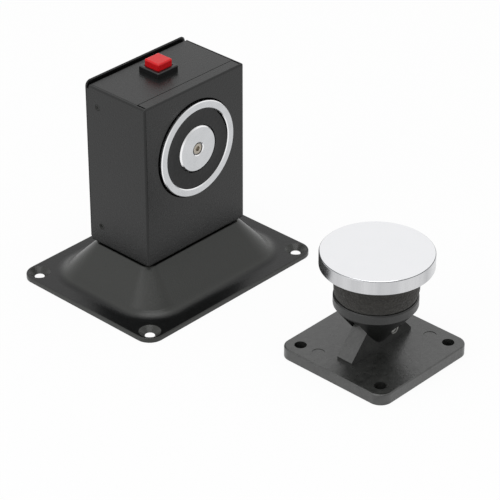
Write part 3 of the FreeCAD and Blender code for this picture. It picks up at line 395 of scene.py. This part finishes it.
# The plate in the same nylon from a smoother mould: it mirrors the hub darkly and the room
# brightly, with cloudy flow marks
SMOOTH_NYLON = Finish(
    name="glass_filled_nylon_moulded_smooth", colour="#030404", tint="#3c3d3b", roughness=0.31,
    grain_mm=1.3, relief_mm=0.09, drift_mm=3.0, spread=0.1, ior=1.76,
)
# Switch case in moulded ABS: black, smoother and glossier than the paint round it
BLACK_ABS = Finish(
    name="abs_moulded_black", colour="#08090a", tint="#0d0e0f", roughness=0.32,
    grain_mm=0.4, relief_mm=0.006, ior=1.54,
)
# Push button in moulded ABS: a full red that stays red in its shaded sides
RED_ABS = Finish(
    name="abs_moulded_signal_red", colour="#c80410", tint="#d40a14", roughness=0.34,
    grain_mm=0.4, relief_mm=0.005, drift_mm=4.0, ior=1.42,
)
# Epoxy cast round the coil: a dark grey flat with filler grains in it
CAST_EPOXY = Finish(
    name="epoxy_cast_dark_grey", colour="#090a0b", tint="#121314", roughness=0.5,
    grain_mm=0.6, relief_mm=0.05, drift_mm=3.0, spread=0.1, ior=1.42,
)
# Screws in zinc-plated steel: bright grey with a warm passivated cast
ZINC_STEEL = Finish(
    name="zinc_plated_steel_passivated", colour="#bdb6aa", tint="#9c958a", roughness=0.34,
    grain_mm=0.6, relief_mm=0.006, drift_mm=2.0, metallic=1.0,
)
# Cross pin in the same zinc, dulled where its ends were rolled over: a plain grey glint
ROLLED_ZINC = Finish(
    name="zinc_plated_steel_rolled", colour="#8b8b88", tint="#6a6a68", roughness=0.3,
    grain_mm=0.6, relief_mm=0.008, drift_mm=2.0, metallic=1.0,
)
# Small screws in blackened steel: near the paint's grey, oily and half dull
BLACK_OXIDE = Finish(
    name="black_oxide_steel", colour="#2c2d2c", tint="#383837", roughness=0.42,
    grain_mm=0.4, relief_mm=0.008, drift_mm=2.0, metallic=1.0,
)
# Coil of enamelled copper wire: the turns show as fine ridges round the core
COPPER_WINDING = TurnedMetal(
    name="enamelled_copper_wound", colour="#a4562c", tint="#8a4322", roughness=0.3,
    grain_mm=0.6, relief_mm=0.08, metallic=1.0, axis=Axis.Y, centre=middle("coil_winding"),
)
# Bobbin and terminal block in plain nylon: off-white and waxy
WHITE_NYLON = Finish(
    name="nylon_moulded_natural", colour="#d8d4c6", tint="#cdc8b8", roughness=0.45,
    grain_mm=0.6, relief_mm=0.01, ior=1.53,
)
# Lead insulation in extruded PVC: plain red with a soft gloss
RED_PVC = Finish(
    name="pvc_extruded_red", colour="#9c1a1a", tint="#8c1414", roughness=0.4,
    grain_mm=0.5, relief_mm=0.006, ior=1.53,
)
# Grommet in moulded rubber: black and dull
RUBBER = Finish(
    name="rubber_moulded_black", colour="#131313", tint="#1a1a1a", roughness=0.75,
    grain_mm=0.5, relief_mm=0.015, ior=1.52,
)
# Contacts in pressed brass strip
BRASS = Finish(
    name="brass_strip_pressed", colour="#c9a550", tint="#b8923f", roughness=0.3,
    grain_mm=0.5, relief_mm=0.005, drift_mm=3.0, metallic=1.0,
)
# Return spring in drawn steel wire
SPRING_STEEL = Finish(
    name="spring_steel_drawn", colour="#8c8d8f", tint="#77787a", roughness=0.28,
    grain_mm=0.3, relief_mm=0.004, drift_mm=2.0, metallic=1.0,
)
# Magnet's pole faces in ground and nickel-plated iron: silvery, with faint concentric marks, and a
# lighter colour on the chamfers as a painted highlight
NICKEL_POLE = TurnedMetal(
    name="nickel_plated_iron_ground", colour="#d2d3d5", tint="#bdbfc1", roughness=0.2,
    grain_mm=0.5, relief_mm=0.002, drift_mm=7.0, spread=0.05, metallic=1.0,
    axis=Axis.Y, centre=middle("magnet_pot"), anisotropy=0.4, slope="#f6f6f7",
)
# Keeper disc in turned and nickel-plated steel: a bright flat top, and a side whose tool marks
# draw lights out into upright bands, with darker upright bands painted in as reflections
NICKEL_TOP = TurnedMetal(
    name="nickel_plated_steel_polished", colour="#efeff1", tint="#ebecee", roughness=0.13,
    grain_mm=0.6, relief_mm=0.0006, spread=0.03, metallic=1.0,
    axis=Axis.Z, centre=middle("armature_plate"), anisotropy=0.2,
)
NICKEL_SIDE = TurnedMetal(
    name="nickel_plated_steel_turned", colour="#f6f6f7", tint="#808286", roughness=0.2,
    grain_mm=0.5, relief_mm=0.002, drift_mm=15.0, spread=0.06, metallic=1.0,
    axis=Axis.Z, centre=middle("armature_plate"), anisotropy=0.75,
)
# The disc's broken edge: a fine dark line that comes and goes, a painted dark reflection
NICKEL_PAINTED_RIM = TurnedMetal(
    name="nickel_plated_steel_edge_painted_reflection", colour="#9a9c9f", tint="#0c0d0e", roughness=0.3,
    grain_mm=0.5, relief_mm=0.002, drift_mm=18.0, spread=0.06, metallic=1.0,
    axis=Axis.Z, centre=middle("armature_plate"), anisotropy=0.2,
)
# Paper of the floor where the keeper's plate covers it, dark as painted shade: dull, with a faint tooth
PAPER_PAINTED_SHADE = Finish(
    name="paper_painted_shade", colour="#1c1c1c", tint="#242424", roughness=0.95,
    grain_mm=0.5, relief_mm=0.01,
)
# Collar in closed-cell rubber foam: charcoal, matt and pitted, with cells drawn about three times
# as wide as real ones
FOAM_RUBBER = CellularFoam(
    name="closed_cell_rubber_foam", colour="#040403", tint="#34322d", roughness=0.85,
    grain_mm=1.3, relief_mm=0.34, drift_mm=1.6, ior=1.5,
)


@cache
def material_of(finish: Finish) -> bpy.types.Material:
    """The material of a finish, made once."""
    return finish.make()


def dress(finish: Finish, *names: str) -> None:
    """Gives nodes of the frame their finish.

    Args:
        finish: the finish to wear.
        names: nodes of the part.
    """
    for name in names:
        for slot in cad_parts[name].material_slots:
            slot.material = material_of(finish)
        log.info("%s wears %s", name, finish.name)


def seat(piece: bpy.types.Object, body: Body, node: str) -> None:
    """Sets a new piece on its body, in place of a node of the frame.

    Args:
        piece: the piece, already where it belongs.
        body: the body that it moves with.
        node: the node that it stands for.
    """
    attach(piece, body.value)
    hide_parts(node)
    log.info("%s stands for %s", piece.name, node)


def new_piece(name: str, builder: bmesh.types.BMesh, *finishes: Finish) -> bpy.types.Object:
    """Makes an object from finished geometry, smooth but for its real edges.

    Args:
        name: the piece's name.
        builder: its geometry, which is freed.
        finishes: its materials, in the order of its faces' numbers.

    Returns:
        The new object, in the scene.
    """
    bmesh.ops.recalc_face_normals(builder, faces=builder.faces)
    mesh = bpy.data.meshes.new(name)
    builder.to_mesh(mesh)
    builder.free()
    mesh.shade_smooth()
    mesh.set_sharp_from_angle(angle=math.radians(SHARP_DEG))
    for finish in finishes:
        mesh.materials.append(material_of(finish))
    piece = bpy.data.objects.new(name, mesh)
    bpy.context.scene.collection.objects.link(piece)
    weighted = piece.modifiers.new("even_shading", "WEIGHTED_NORMAL")
    weighted.keep_sharp = True
    return piece


def ring_at(builder: bmesh.types.BMesh, outline: Profile, angle: float, place: Matrix) -> Ring:
    """Adds the points of an outline at an angle round an axis.

    Args:
        builder: the geometry to add to.
        outline: points as radius and height along the axis.
        angle: the angle in radians.
        place: where the axis stands.

    Returns:
        The new points.
    """
    points = [(radius * math.cos(angle), radius * math.sin(angle), height) for radius, height in outline]
    return [builder.verts.new(place @ Vector(point)) for point in points]


def join(builder: bmesh.types.BMesh, ring: Ring, after: Ring) -> None:
    """Joins two closed rings of points by a strip of faces.

    Args:
        builder: the geometry to add to.
        ring: points of the first ring.
        after: points of the next one, as many.
    """
    for low in range(len(ring)):
        high = (low + 1) % len(ring)
        builder.faces.new((ring[low], after[low], after[high], ring[high]))


def turn(profile: Callable[[float], Profile], place: Matrix, segments: int) -> bmesh.types.BMesh:
    """Sweeps a closed outline once round an axis.

    Args:
        profile: the outline at an angle, as radius and height along the axis.
        place: where the axis stands.
        segments: steps round the axis.

    Returns:
        The turned geometry.
    """
    builder = bmesh.new()
    angles = [2 * math.pi * step / segments for step in range(segments)]
    rings = [ring_at(builder, profile(angle), angle, place) for angle in angles]
    for ring, after in zip(rings, rings[1:] + rings[:1]):
        join(builder, ring, after)
    bmesh.ops.remove_doubles(builder, verts=builder.verts, dist=WELD)
    return builder


def arc(centre: tuple[float, float], radius: float, start: float, end: float, steps: int = 6) -> Profile:
    """Points along an arc.

    Args:
        centre: the arc's centre.
        radius: its radius.
        start: first angle, in degrees.
        end: last angle, in degrees.
        steps: spans between points.

    Returns:
        Points from the first angle to the last.
    """
    angles = [math.radians(start + (end - start) * step / steps) for step in range(steps + 1)]
    return [(centre[0] + radius * math.cos(angle), centre[1] + radius * math.sin(angle)) for angle in angles]


@dataclass
class FloorPedestal:
    """Pressed floor flange with its pedestal, and what passes through it."""

    def build(self) -> None:
        """Dresses the pedestal, the screws down into it and the grommet."""
        dress(COAT_PAINTED_SHEEN, "floor_flange")
        dress(ZINC_STEEL, "base_screws")
        dress(RUBBER, "cable_grommet")


@dataclass
class Housing:
    """Folded sheet box of the magnet unit, with small countersunk screws in its sides.

    Attributes:
        screw_segments: steps round a screw.
        shank: radius of a screw's shank.
        shank_length: depth of its tip under the head's face.
        head_edge: broken edge of the head.
        recess_length: length of the cross recess's arms from end to end.
        recess_width: width of an arm.
        recess_depth: depth of the recess.
        recess_taper: share of an arm's length left at the recess's floor.
        turns_deg: how far round each screw came to rest.
    """

    screw_segments: int = 48
    shank: float = 1.25 * MM
    shank_length: float = 5.0 * MM
    head_edge: float = 0.1 * MM
    recess_length: float = 2.5 * MM
    recess_width: float = 0.55 * MM
    recess_depth: float = 0.9 * MM
    recess_taper: float = 0.35
    turns_deg: tuple[float, ...] = (12.0, 64.0, 33.0, 81.0)

    def build(self) -> None:
        """Dresses the sheets and makes the screws."""
        dress(POWDER_COAT, "housing_shell", "top_panel", "bottom_plate", "rear_cover")
        self.side_screws()

    def side_screws(self) -> None:
        """Four screws with cross recesses, each turned a little differently."""
        low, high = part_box("side_screws")
        head = (high[1] - low[1]) / 2
        across = middle("side_screws")[1]
        builder = bmesh.new()
        places = [(side, height) for side in (-1, 1) for height in (low[2] + head, high[2] - head)]
        for (side, height), angle in zip(places, self.turns_deg):
            outward = Matrix.Rotation(math.radians(90 * side), 4, "Y")
            spot = Matrix.Translation((side * high[0], across, height))
            mesh = self.screw(head, spot @ outward @ Matrix.Rotation(math.radians(angle), 4, "Z"))
            builder.from_mesh(mesh)
            bpy.data.meshes.remove(mesh)
        piece = new_piece("side_screws_cross_recess", builder, BLACK_OXIDE)
        seat(piece, Body.HOLDER, "side_screws")

    def screw(self, head: float, place: Matrix) -> bpy.types.Mesh:
        """One countersunk screw, its head's face at the place's origin and looking along +Z.

        Args:
            head: radius of the head.
            place: where the face's centre goes.

        Returns:
            The screw's mesh.
        """
        shank, tip, edge = self.shank, -self.shank_length, self.head_edge
        outline = [
            (0.0, tip), (shank, tip), (shank, shank - head), (head, -edge), (head - edge, 0.0), (0.0, 0.0),
        ]
        blank = new_piece("screw_blank", turn(lambda angle: outline, Matrix(), self.screw_segments))
        for across in (0, 90):
            blade = self.recess_blade(math.radians(across))
            cut = blank.modifiers.new("recess", "BOOLEAN")
            cut.object = blade
            cut.solver = "EXACT"
        mesh = bpy.data.meshes.new_from_object(blank.evaluated_get(bpy.context.evaluated_depsgraph_get()))
        for tool in [cut.object for cut in blank.modifiers if cut.type == "BOOLEAN"]:
            bpy.data.objects.remove(tool)
        bpy.data.objects.remove(blank)
        mesh.transform(place)
        return mesh

    def recess_blade(self, angle: float) -> bpy.types.Object:
        """A tapered bar, the shape of one arm of the recess, half of it above the head's face.

        Args:
            angle: how far the bar is turned about the screw's axis.

        Returns:
            The bar as a closed object.
        """
        builder = bmesh.new()
        bmesh.ops.create_cube(builder, size=1.0)
        for vert in builder.verts:
            taper = 1.0 if vert.co.z > 0 else self.recess_taper
            vert.co.x *= self.recess_length * taper
            vert.co.y *= self.recess_width
            vert.co.z *= 2 * self.recess_depth
        bmesh.ops.rotate(builder, verts=builder.verts, matrix=Matrix.Rotation(angle, 3, "Z"))
        return new_piece("recess_blade", builder)


@dataclass
class HoldingMagnet:
    """Pot magnet in the housing's front: yoke, coil, cast resin and the screw through its core.

    Attributes:
        segments: steps round the resin ring.
        resin_inner: radius of the core that the resin meets.
        resin_spans: steps across the ring.
        ripple_size: size of the resin's unevenness.
        dish: how far the resin sinks between the walls.
        ripple: unevenness of its surface.
        core_smears: where resin ran over the core: angle and half width in degrees, reach.
        yoke_smears: where it ran over the yoke, in the same way.
        shrinkage: where it drew away from the yoke, in the same way.
        smear_rise: height of a smear, as a share of its reach.
    """

    segments: int = 240
    resin_inner: float = 12.45 * MM
    resin_spans: int = 14
    ripple_size: float = 1.6 * MM
    dish: float = 0.14 * MM
    ripple: float = 0.05 * MM
    core_smears: Flaws = ((215.0, 5.0, 0.7 * MM), (232.0, 7.0, 1.0 * MM))
    yoke_smears: Flaws = ((62.0, 5.0, 0.8 * MM), (52.0, 4.0, 0.6 * MM))
    shrinkage: Flaws = ((28.0, 32.0, 0.9 * MM),)
    smear_rise: float = 0.55

    def build(self) -> None:
        """Dresses the magnet's metal and coil, and casts the resin ring."""
        dress(NICKEL_POLE, "magnet_pot")
        dress(ZINC_STEEL, "core_screw", "core_nut", "magnet_bracket")
        dress(WHITE_NYLON, "coil_bobbin")
        dress(COPPER_WINDING, "coil_winding")
        self.resin_ring()

    def resin_ring(self) -> None:
        """Resin cast in the groove: dished, run over the metal in places and shrunk in others."""
        low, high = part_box("potting_ring")
        outer = (high[0] - low[0]) / 2
        inner = self.resin_inner
        depth = high[1] - low[1]
        centre = middle("magnet_pot")
        place = Matrix.Translation((centre[0], high[1], centre[2])) @ ALONG_Y

        def section(angle: float) -> Profile:
            """Outline at an angle: back, outer wall, uneven top and inner wall.

            Args:
                angle: the angle round the axis, in radians.

            Returns:
                Points as radius and height.
            """
            on_core = self.reach(angle, self.core_smears)
            on_yoke = self.reach(angle, self.yoke_smears)
            edge = outer - self.reach(angle, self.shrinkage)
            top = [(edge, depth), (edge + on_yoke, depth + on_yoke * self.smear_rise)]
            for step in range(self.resin_spans + 1):
                share = step / self.resin_spans
                radius = edge - (edge - inner) * share
                spot = Vector((radius * math.cos(angle), radius * math.sin(angle), 0.0)) / self.ripple_size
                rise = self.ripple * noise.noise(spot) - self.dish * hump(share)
                top.append((radius, depth - self.ripple + rise))
            top += [(inner - on_core, depth + on_core * self.smear_rise), (inner, depth)]
            return [(inner, 0.0), (outer, 0.0)] + top

        piece = new_piece("potting_ring_cast", turn(section, place, self.segments), CAST_EPOXY)
        seat(piece, Body.HOLDER, "potting_ring")

    @staticmethod
    def reach(angle: float, flaws: Flaws) -> float:
        """How far flaws of one kind reach at an angle.

        Args:
            angle: the angle round the ring, in radians.
            flaws: angle and half width in degrees, and the reach in the middle.

        Returns:
            The summed reach, which is zero away from every flaw.
        """
        total = 0.0
        for at, wide, run in flaws:
            apart = (math.degrees(angle) - at + 180) % 360 - 180
            total += run * max(0.0, 1 - (apart / wide) ** 2)
        return total


@dataclass
class ReleaseSwitch:
    """Square push-button switch on the top panel.

    Attributes:
        spring_wire: radius of the return spring's wire.
        spring_turns: turns of the spring.
        spring_steps: steps in a turn.
        wire_sides: sides of the wire.
    """

    spring_wire: float = 0.225 * MM
    spring_turns: int = 4
    spring_steps: int = 32
    wire_sides: int = 10

    def build(self) -> None:
        """Dresses the case, the red cap and the contacts, and winds the spring."""
        dress(BLACK_ABS, "switch_body", "switch_base")
        dress(RED_ABS, "button_cap")
        dress(BRASS, "switch_terminals", "contact_bridge")
        self.spring()

    def spring(self) -> None:
        """Round-wire spring, wound up from its seat to fill the node's box."""
        low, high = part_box("return_spring")
        coil = (high[0] - low[0]) / 2 - self.spring_wire
        rise = high[2] - low[2] - 2 * self.spring_wire
        place = foot("return_spring")
        steps = self.spring_turns * self.spring_steps
        builder = bmesh.new()
        rings = []
        for step in range(steps + 1):
            angle = 2 * math.pi * step / self.spring_steps
            height = self.spring_wire + rise * step / steps
            wire = arc((coil, height), self.spring_wire, 0, 360, self.wire_sides)[:-1]
            rings.append(ring_at(builder, wire, angle, place))
        for ring, after in zip(rings, rings[1:]):
            join(builder, ring, after)
        for end in (rings[0], rings[-1]):
            builder.faces.new(end)
        piece = new_piece("return_spring_wound", builder, SPRING_STEEL)
        seat(piece, Body.HOLDER, "return_spring")
        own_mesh(piece)


@dataclass
class Wiring:
    """Terminal block and the leads inside the box."""

    def build(self) -> None:
        """Dresses the block, its screws and the leads."""
        dress(WHITE_NYLON, "terminal_block")
        dress(ZINC_STEEL, "terminal_screws")
        dress(RED_PVC, "coil_leads", "switch_leads")


@dataclass
class Keeper:
    """Keeper for the door: moulded plate and hub, foam collar and the plated disc.

    Attributes:
        disc_segments: steps round the disc.
        disc_edge: radius of the disc's edges.
        disc_painted_rim: lean of the part of its upper edge that carries a painted dark reflection, as
            heights of the faces' normals.
        disc_bore: radius of the blind thread in its back.
        disc_blind: depth of that thread.
        foam_segments: steps round the collar.
        foam_rows: rows up the collar's side.
        foam_bore: radius of its bore.
        foam_waist: how far its ends lie inside the node's box.
        foam_bulge: how far the collar stands out at mid height.
        foam_sag: how much fuller it is low down on the side that bears more.
        foam_sag_middle: where that is, as a share of its height.
        foam_sag_spread: how far it reaches up and down, as a share of its height.
        foam_tuck: how far its cut edges draw in at foot and head.
        foam_tuck_share: share of its height over which they do.
        foam_ripple: unevenness of its cut face.
        foam_waves: waves of the unevenness within the collar's radius.
        pin_segments: steps round the cross pin.
        pin_bore: radius of its bore.
        pin_curl: radius of the circle that its rolled lips lie on.
        pin_lip: radius of a lip's round.
        pin_seat: how far the lips lie outside the node's ends, on the floor of the hub's mouths.
    """

    disc_segments: int = 256
    disc_edge: float = 0.7 * MM
    disc_painted_rim: tuple[float, float] = (0.5, 0.9)
    disc_bore: float = 3.05 * MM
    disc_blind: float = 5.85 * MM
    foam_segments: int = 192
    foam_rows: int = 40
    foam_bore: float = 3.3 * MM
    foam_waist: float = 0.8 * MM
    foam_bulge: float = 0.7 * MM
    foam_sag: float = 0.35 * MM
    foam_sag_middle: float = 0.25
    foam_sag_spread: float = 0.18
    foam_tuck: float = 0.6 * MM
    foam_tuck_share: float = 0.045
    foam_ripple: float = 0.16 * MM
    foam_waves: float = 6.0
    pin_segments: int = 64
    pin_bore: float = 1.4 * MM
    pin_curl: float = 2.65 * MM
    pin_lip: float = 0.5 * MM
    pin_seat: float = 0.22 * MM

    def build(self) -> None:
        """Dresses the mouldings and the screw, and makes the pin, the disc and the collar."""
        dress(SMOOTH_NYLON, "armature_base")
        dress(FILLED_NYLON, "swivel_hub")
        dress(ZINC_STEEL, "plate_screw")
        self.pin()
        self.disc()
        self.collar()

    def pin(self) -> None:
        """Hollow cross pin, rolled over at both ends into a bright lip round a dark bore."""
        low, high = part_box("pivot_pin")
        shank = (high[0] - low[0]) / 2
        half = (high[1] - low[1]) / 2 + self.pin_seat
        outline = arc((self.pin_curl, half), self.pin_lip, 180, 0)
        outline += [(shank, half), (shank, -half)]
        outline += arc((self.pin_curl, -half), self.pin_lip, 0, -180)
        outline += [(self.pin_bore, self.pin_lip - half), (self.pin_bore, half - self.pin_lip)]
        place = Matrix.Translation(middle("pivot_pin")) @ ALONG_Y
        builder = turn(lambda angle: outline, place, self.pin_segments)
        piece = new_piece("pivot_pin_rolled", builder, ROLLED_ZINC)
        seat(piece, Body.KEEPER_HEAD, "pivot_pin")

    def disc(self) -> None:
        """Plated disc with broken edges, a dark reflection painted on the upper one, and the blind thread in
        its back.
        """
        low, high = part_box("armature_plate")
        rim = (high[0] - low[0]) / 2
        thick = high[2] - low[2]
        edge = self.disc_edge
        outline = [(0.0, self.disc_blind), (self.disc_bore, self.disc_blind), (self.disc_bore, 0.0)]
        outline += arc((rim - edge, edge), edge, -90, 0)
        outline += arc((rim - edge, thick - edge), edge, 0, 90)
        outline += [(0.0, thick)]
        builder = turn(lambda angle: outline, foot("armature_plate"), self.disc_segments)
        bmesh.ops.recalc_face_normals(builder, faces=builder.faces)
        finishes = (NICKEL_TOP, NICKEL_SIDE, NICKEL_PAINTED_RIM)
        for face in builder.faces:
            face.material_index = finishes.index(self.disc_finish(face.normal.z))
        piece = new_piece("armature_disc_plated", builder, *finishes)
        seat(piece, Body.KEEPER_HEAD, "armature_plate")

    def disc_finish(self, upward: float) -> Finish:
        """Finish of one face of the disc.

        Args:
            upward: height of the face's normal.

        Returns:
            The finish with the painted dark reflection on the lean of the upper edge, the turned one on
            the side, or the polished one.
        """
        steep, flat = self.disc_painted_rim
        if steep < upward < flat:
            return NICKEL_PAINTED_RIM
        return NICKEL_SIDE if abs(upward) < flat else NICKEL_TOP

    def collar(self) -> None:
        """Foam collar: full at mid height, a little fuller low down at one side, and uneven."""
        low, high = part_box("foam_collar")
        tall = high[2] - low[2]
        rim = (high[0] - low[0]) / 2 - self.foam_waist

        def section(angle: float) -> Profile:
            """Outline at an angle: bore, and the side from foot to head.

            Args:
                angle: the angle round the axis, in radians.

            Returns:
                Points as radius and height.
            """
            side = []
            for row in range(self.foam_rows + 1):
                share = row / self.foam_rows
                full = self.foam_bulge * hump(share)
                below = (share - self.foam_sag_middle) / self.foam_sag_spread
                sag = self.foam_sag * math.exp(-below ** 2) * max(0.0, math.cos(angle))
                tuck = self.foam_tuck * math.exp(-min(share, 1 - share) / self.foam_tuck_share)
                spot = Vector((math.cos(angle), math.sin(angle), share * tall / rim)) * self.foam_waves
                wave = self.foam_ripple * noise.noise(spot)
                side.append((rim + full + sag - tuck + wave, share * tall))
            return [(self.foam_bore, tall), (self.foam_bore, 0.0)] + side

        builder = turn(section, foot("foam_collar"), self.foam_segments)
        piece = new_piece("foam_collar_cut", builder, FOAM_RUBBER)
        seat(piece, Body.KEEPER_HEAD, "foam_collar")


@dataclass(frozen=True)
class Softbox:
    """A square lamp behind white cloth.

    Attributes:
        name: the lamp's name.
        place: where it hangs.
        side: length of its side.
        power: its power in watts.
    """

    name: str
    place: Point
    side: float
    power: float

    def hang(self, aim: Point) -> None:
        """Puts the lamp in the scene.

        Args:
            aim: the point that it looks at.
        """
        data = bpy.data.lights.new(self.name, "AREA")
        data.size = self.side
        data.energy = self.power
        lamp = bpy.data.objects.new(self.name, data)
        lamp.location = self.place
        look = Vector(aim) - Vector(self.place)
        lamp.rotation_euler = look.to_track_quat("-Z", "Y").to_euler()
        bpy.context.scene.collection.objects.link(lamp)


@dataclass
class Studio:
    """White room with a paper floor, two softboxes and the camera.

    Attributes:
        floor_side: side of the square floor.
        floor_drop: gap under the object.
        floor_glow: share of the floor's white that doesn't depend on the lamps.
        floor_colour: the floor's own colour.
        shade_inset: how far the sheet of painted shade lies inside the keeper's plate.
        sky_colour: the room's colour.
        sky_fill: strength of the room's light on matt surfaces.
        dark_side: direction of the unlit part of the room, high up before the magnet's face.
        dark_share: how much of the white is missing in its middle.
        dark_half_deg: how far it reaches to each side.
        yaw_deg: camera's turn from looking along +Y.
        pitch_deg: how far it looks down.
        position: where it stands.
        lens: focal length on a sensor of sensor_width, both in millimetres.
        sensor_width: width of the camera's sensor in millimetres.
        lamps: the softboxes.
        aim: the point that they look at.
    """

    floor_side: float = 8.0
    floor_drop: float = 0.1 * MM
    floor_glow: float = 0.92
    floor_colour: str = "#f4f4f4"
    shade_inset: float = 2.0 * MM
    sky_colour: str = "#ffffff"
    sky_fill: float = 0.6
    dark_side: Point = (-0.08, -0.7, 0.71)
    dark_share: float = 0.4
    dark_half_deg: float = 45.0
    yaw_deg: float = -46.78
    pitch_deg: float = 31.36
    position: Point = (-0.7176, -0.7311, 0.6325)
    lens: float = 170.35
    sensor_width: float = 36.0
    lamps: tuple[Softbox, ...] = (
        Softbox("overhead_softbox", (-0.1, -0.2, 1.5), side=1.0, power=8.0),
        Softbox("left_softbox", (-1.6, 0.1, 1.0), side=1.2, power=6.0),
    )
    aim: Point = (0.0, -0.06, 0.05)

    def build(self) -> None:
        """Sets the view, the room and the lamps."""
        bpy.context.scene.view_settings.view_transform = "Standard"
        self.camera()
        self.floor()
        self.keeper_shade()
        self.sky()
        for lamp in self.lamps:
            lamp.hang(self.aim)

    def camera(self) -> None:
        """The camera, between the two angles that the photograph joins."""
        data = bpy.data.cameras.new("camera")
        data.sensor_width = self.sensor_width
        data.lens = self.lens
        camera = bpy.data.objects.new("camera", data)
        camera.location = self.position
        camera.rotation_euler = (math.radians(90 - self.pitch_deg), 0.0, math.radians(self.yaw_deg))
        bpy.context.scene.collection.objects.link(camera)
        bpy.context.scene.camera = camera

    @staticmethod
    def seen(tree: bpy.types.NodeTree) -> bpy.types.NodeSocket:
        """One where the camera, a reflection or a transmission looks.

        Args:
            tree: nodes of the floor or the room.

        Returns:
            A socket that is one for such rays and zero for the light on matt surfaces.
        """
        path = add_node(tree, "LightPath", {})
        direct = add_node(tree, "Math", {
            0: path.outputs["Is Camera Ray"], 1: path.outputs["Is Glossy Ray"],
        }, operation="MAXIMUM")
        both = add_node(tree, "Math", {
            0: direct.outputs["Value"], 1: path.outputs["Is Transmission Ray"],
        }, operation="MAXIMUM")
        return both.outputs["Value"]

    def floor(self) -> None:
        """Pale floor that shows white and keeps a soft shadow under the object."""
        builder = bmesh.new()
        bmesh.ops.create_grid(builder, x_segments=1, y_segments=1, size=self.floor_side / 2)
        floor = new_piece("floor", builder)
        floor.location.z = -self.floor_drop
        material = bpy.data.materials.new("paper_sweep_white")
        material.use_nodes = True
        tree = material.node_tree
        tree.nodes.clear()
        paper = add_node(tree, "BsdfDiffuse", {"Color": linear(self.floor_colour)})
        glow = add_node(tree, "Emission", {"Strength": 1.0})
        share = add_node(tree, "Math", {0: self.seen(tree), 1: self.floor_glow}, operation="MULTIPLY")
        mixed = add_node(tree, "MixShader", {
            0: share.outputs["Value"], 1: paper.outputs["BSDF"], 2: glow.outputs["Emission"],
        })
        add_node(tree, "OutputMaterial", {"Surface": mixed.outputs["Shader"]})
        floor.data.materials.append(material)

    def keeper_shade(self) -> None:
        """A dark sheet on the floor under the keeper's plate, painted shade where no lamp reaches, so that
        its holes stay dark.
        """
        low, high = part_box("armature_base")
        inset = self.shade_inset
        builder = bmesh.new()
        corners = [
            (low[0] + inset, low[1] + inset), (high[0] - inset, low[1] + inset),
            (high[0] - inset, high[1] - inset), (low[0] + inset, high[1] - inset),
        ]
        builder.faces.new([builder.verts.new((x, y, -self.floor_drop / 2)) for x, y in corners])
        shade = new_piece("keeper_shade", builder, PAPER_PAINTED_SHADE)

    def sky(self) -> None:
        """White room: softer on matt surfaces, and reflected white but for its unlit part."""
        world = bpy.data.worlds.new("white_room")
        world.use_nodes = True
        tree = world.node_tree
        tree.nodes.clear()
        colour = linear(self.sky_colour)
        fill = add_node(tree, "Background", {"Color": colour, "Strength": self.sky_fill})
        facing = add_node(tree, "TexCoord", {}).outputs["Generated"]
        near = add_node(tree, "VectorMath", {0: facing, 1: self.dark_side}, operation="DOT_PRODUCT")
        dimmed = add_node(tree, "MapRange", {
            "Value": near.outputs["Value"], "From Min": math.cos(math.radians(self.dark_half_deg)),
            "To Min": 1.0, "To Max": 1.0 - self.dark_share,
        })
        eye = add_node(tree, "LightPath", {}).outputs["Is Camera Ray"]
        level = add_node(tree, "Math", {0: dimmed.outputs["Result"], 1: eye}, operation="MAXIMUM")
        bright = add_node(tree, "Background", {"Color": colour, "Strength": level.outputs["Value"]})
        mixed = add_node(tree, "MixShader", {
            0: self.seen(tree), 1: fill.outputs["Background"], 2: bright.outputs["Background"],
        })
        add_node(tree, "OutputWorld", {"Surface": mixed.outputs["Shader"]})
        bpy.context.scene.world = world


def main() -> None:
    """Builds the sub-assemblies and the studio in order."""
    logging.basicConfig(level=logging.INFO, format="%(name)s: %(message)s")
    for part in (
        FloorPedestal(), Housing(), HoldingMagnet(), ReleaseSwitch(), Wiring(), Keeper(), Studio(),
    ):
        part.build()
        log.info("%s is built", type(part).__name__)


if __name__ == "__main__":
    main()
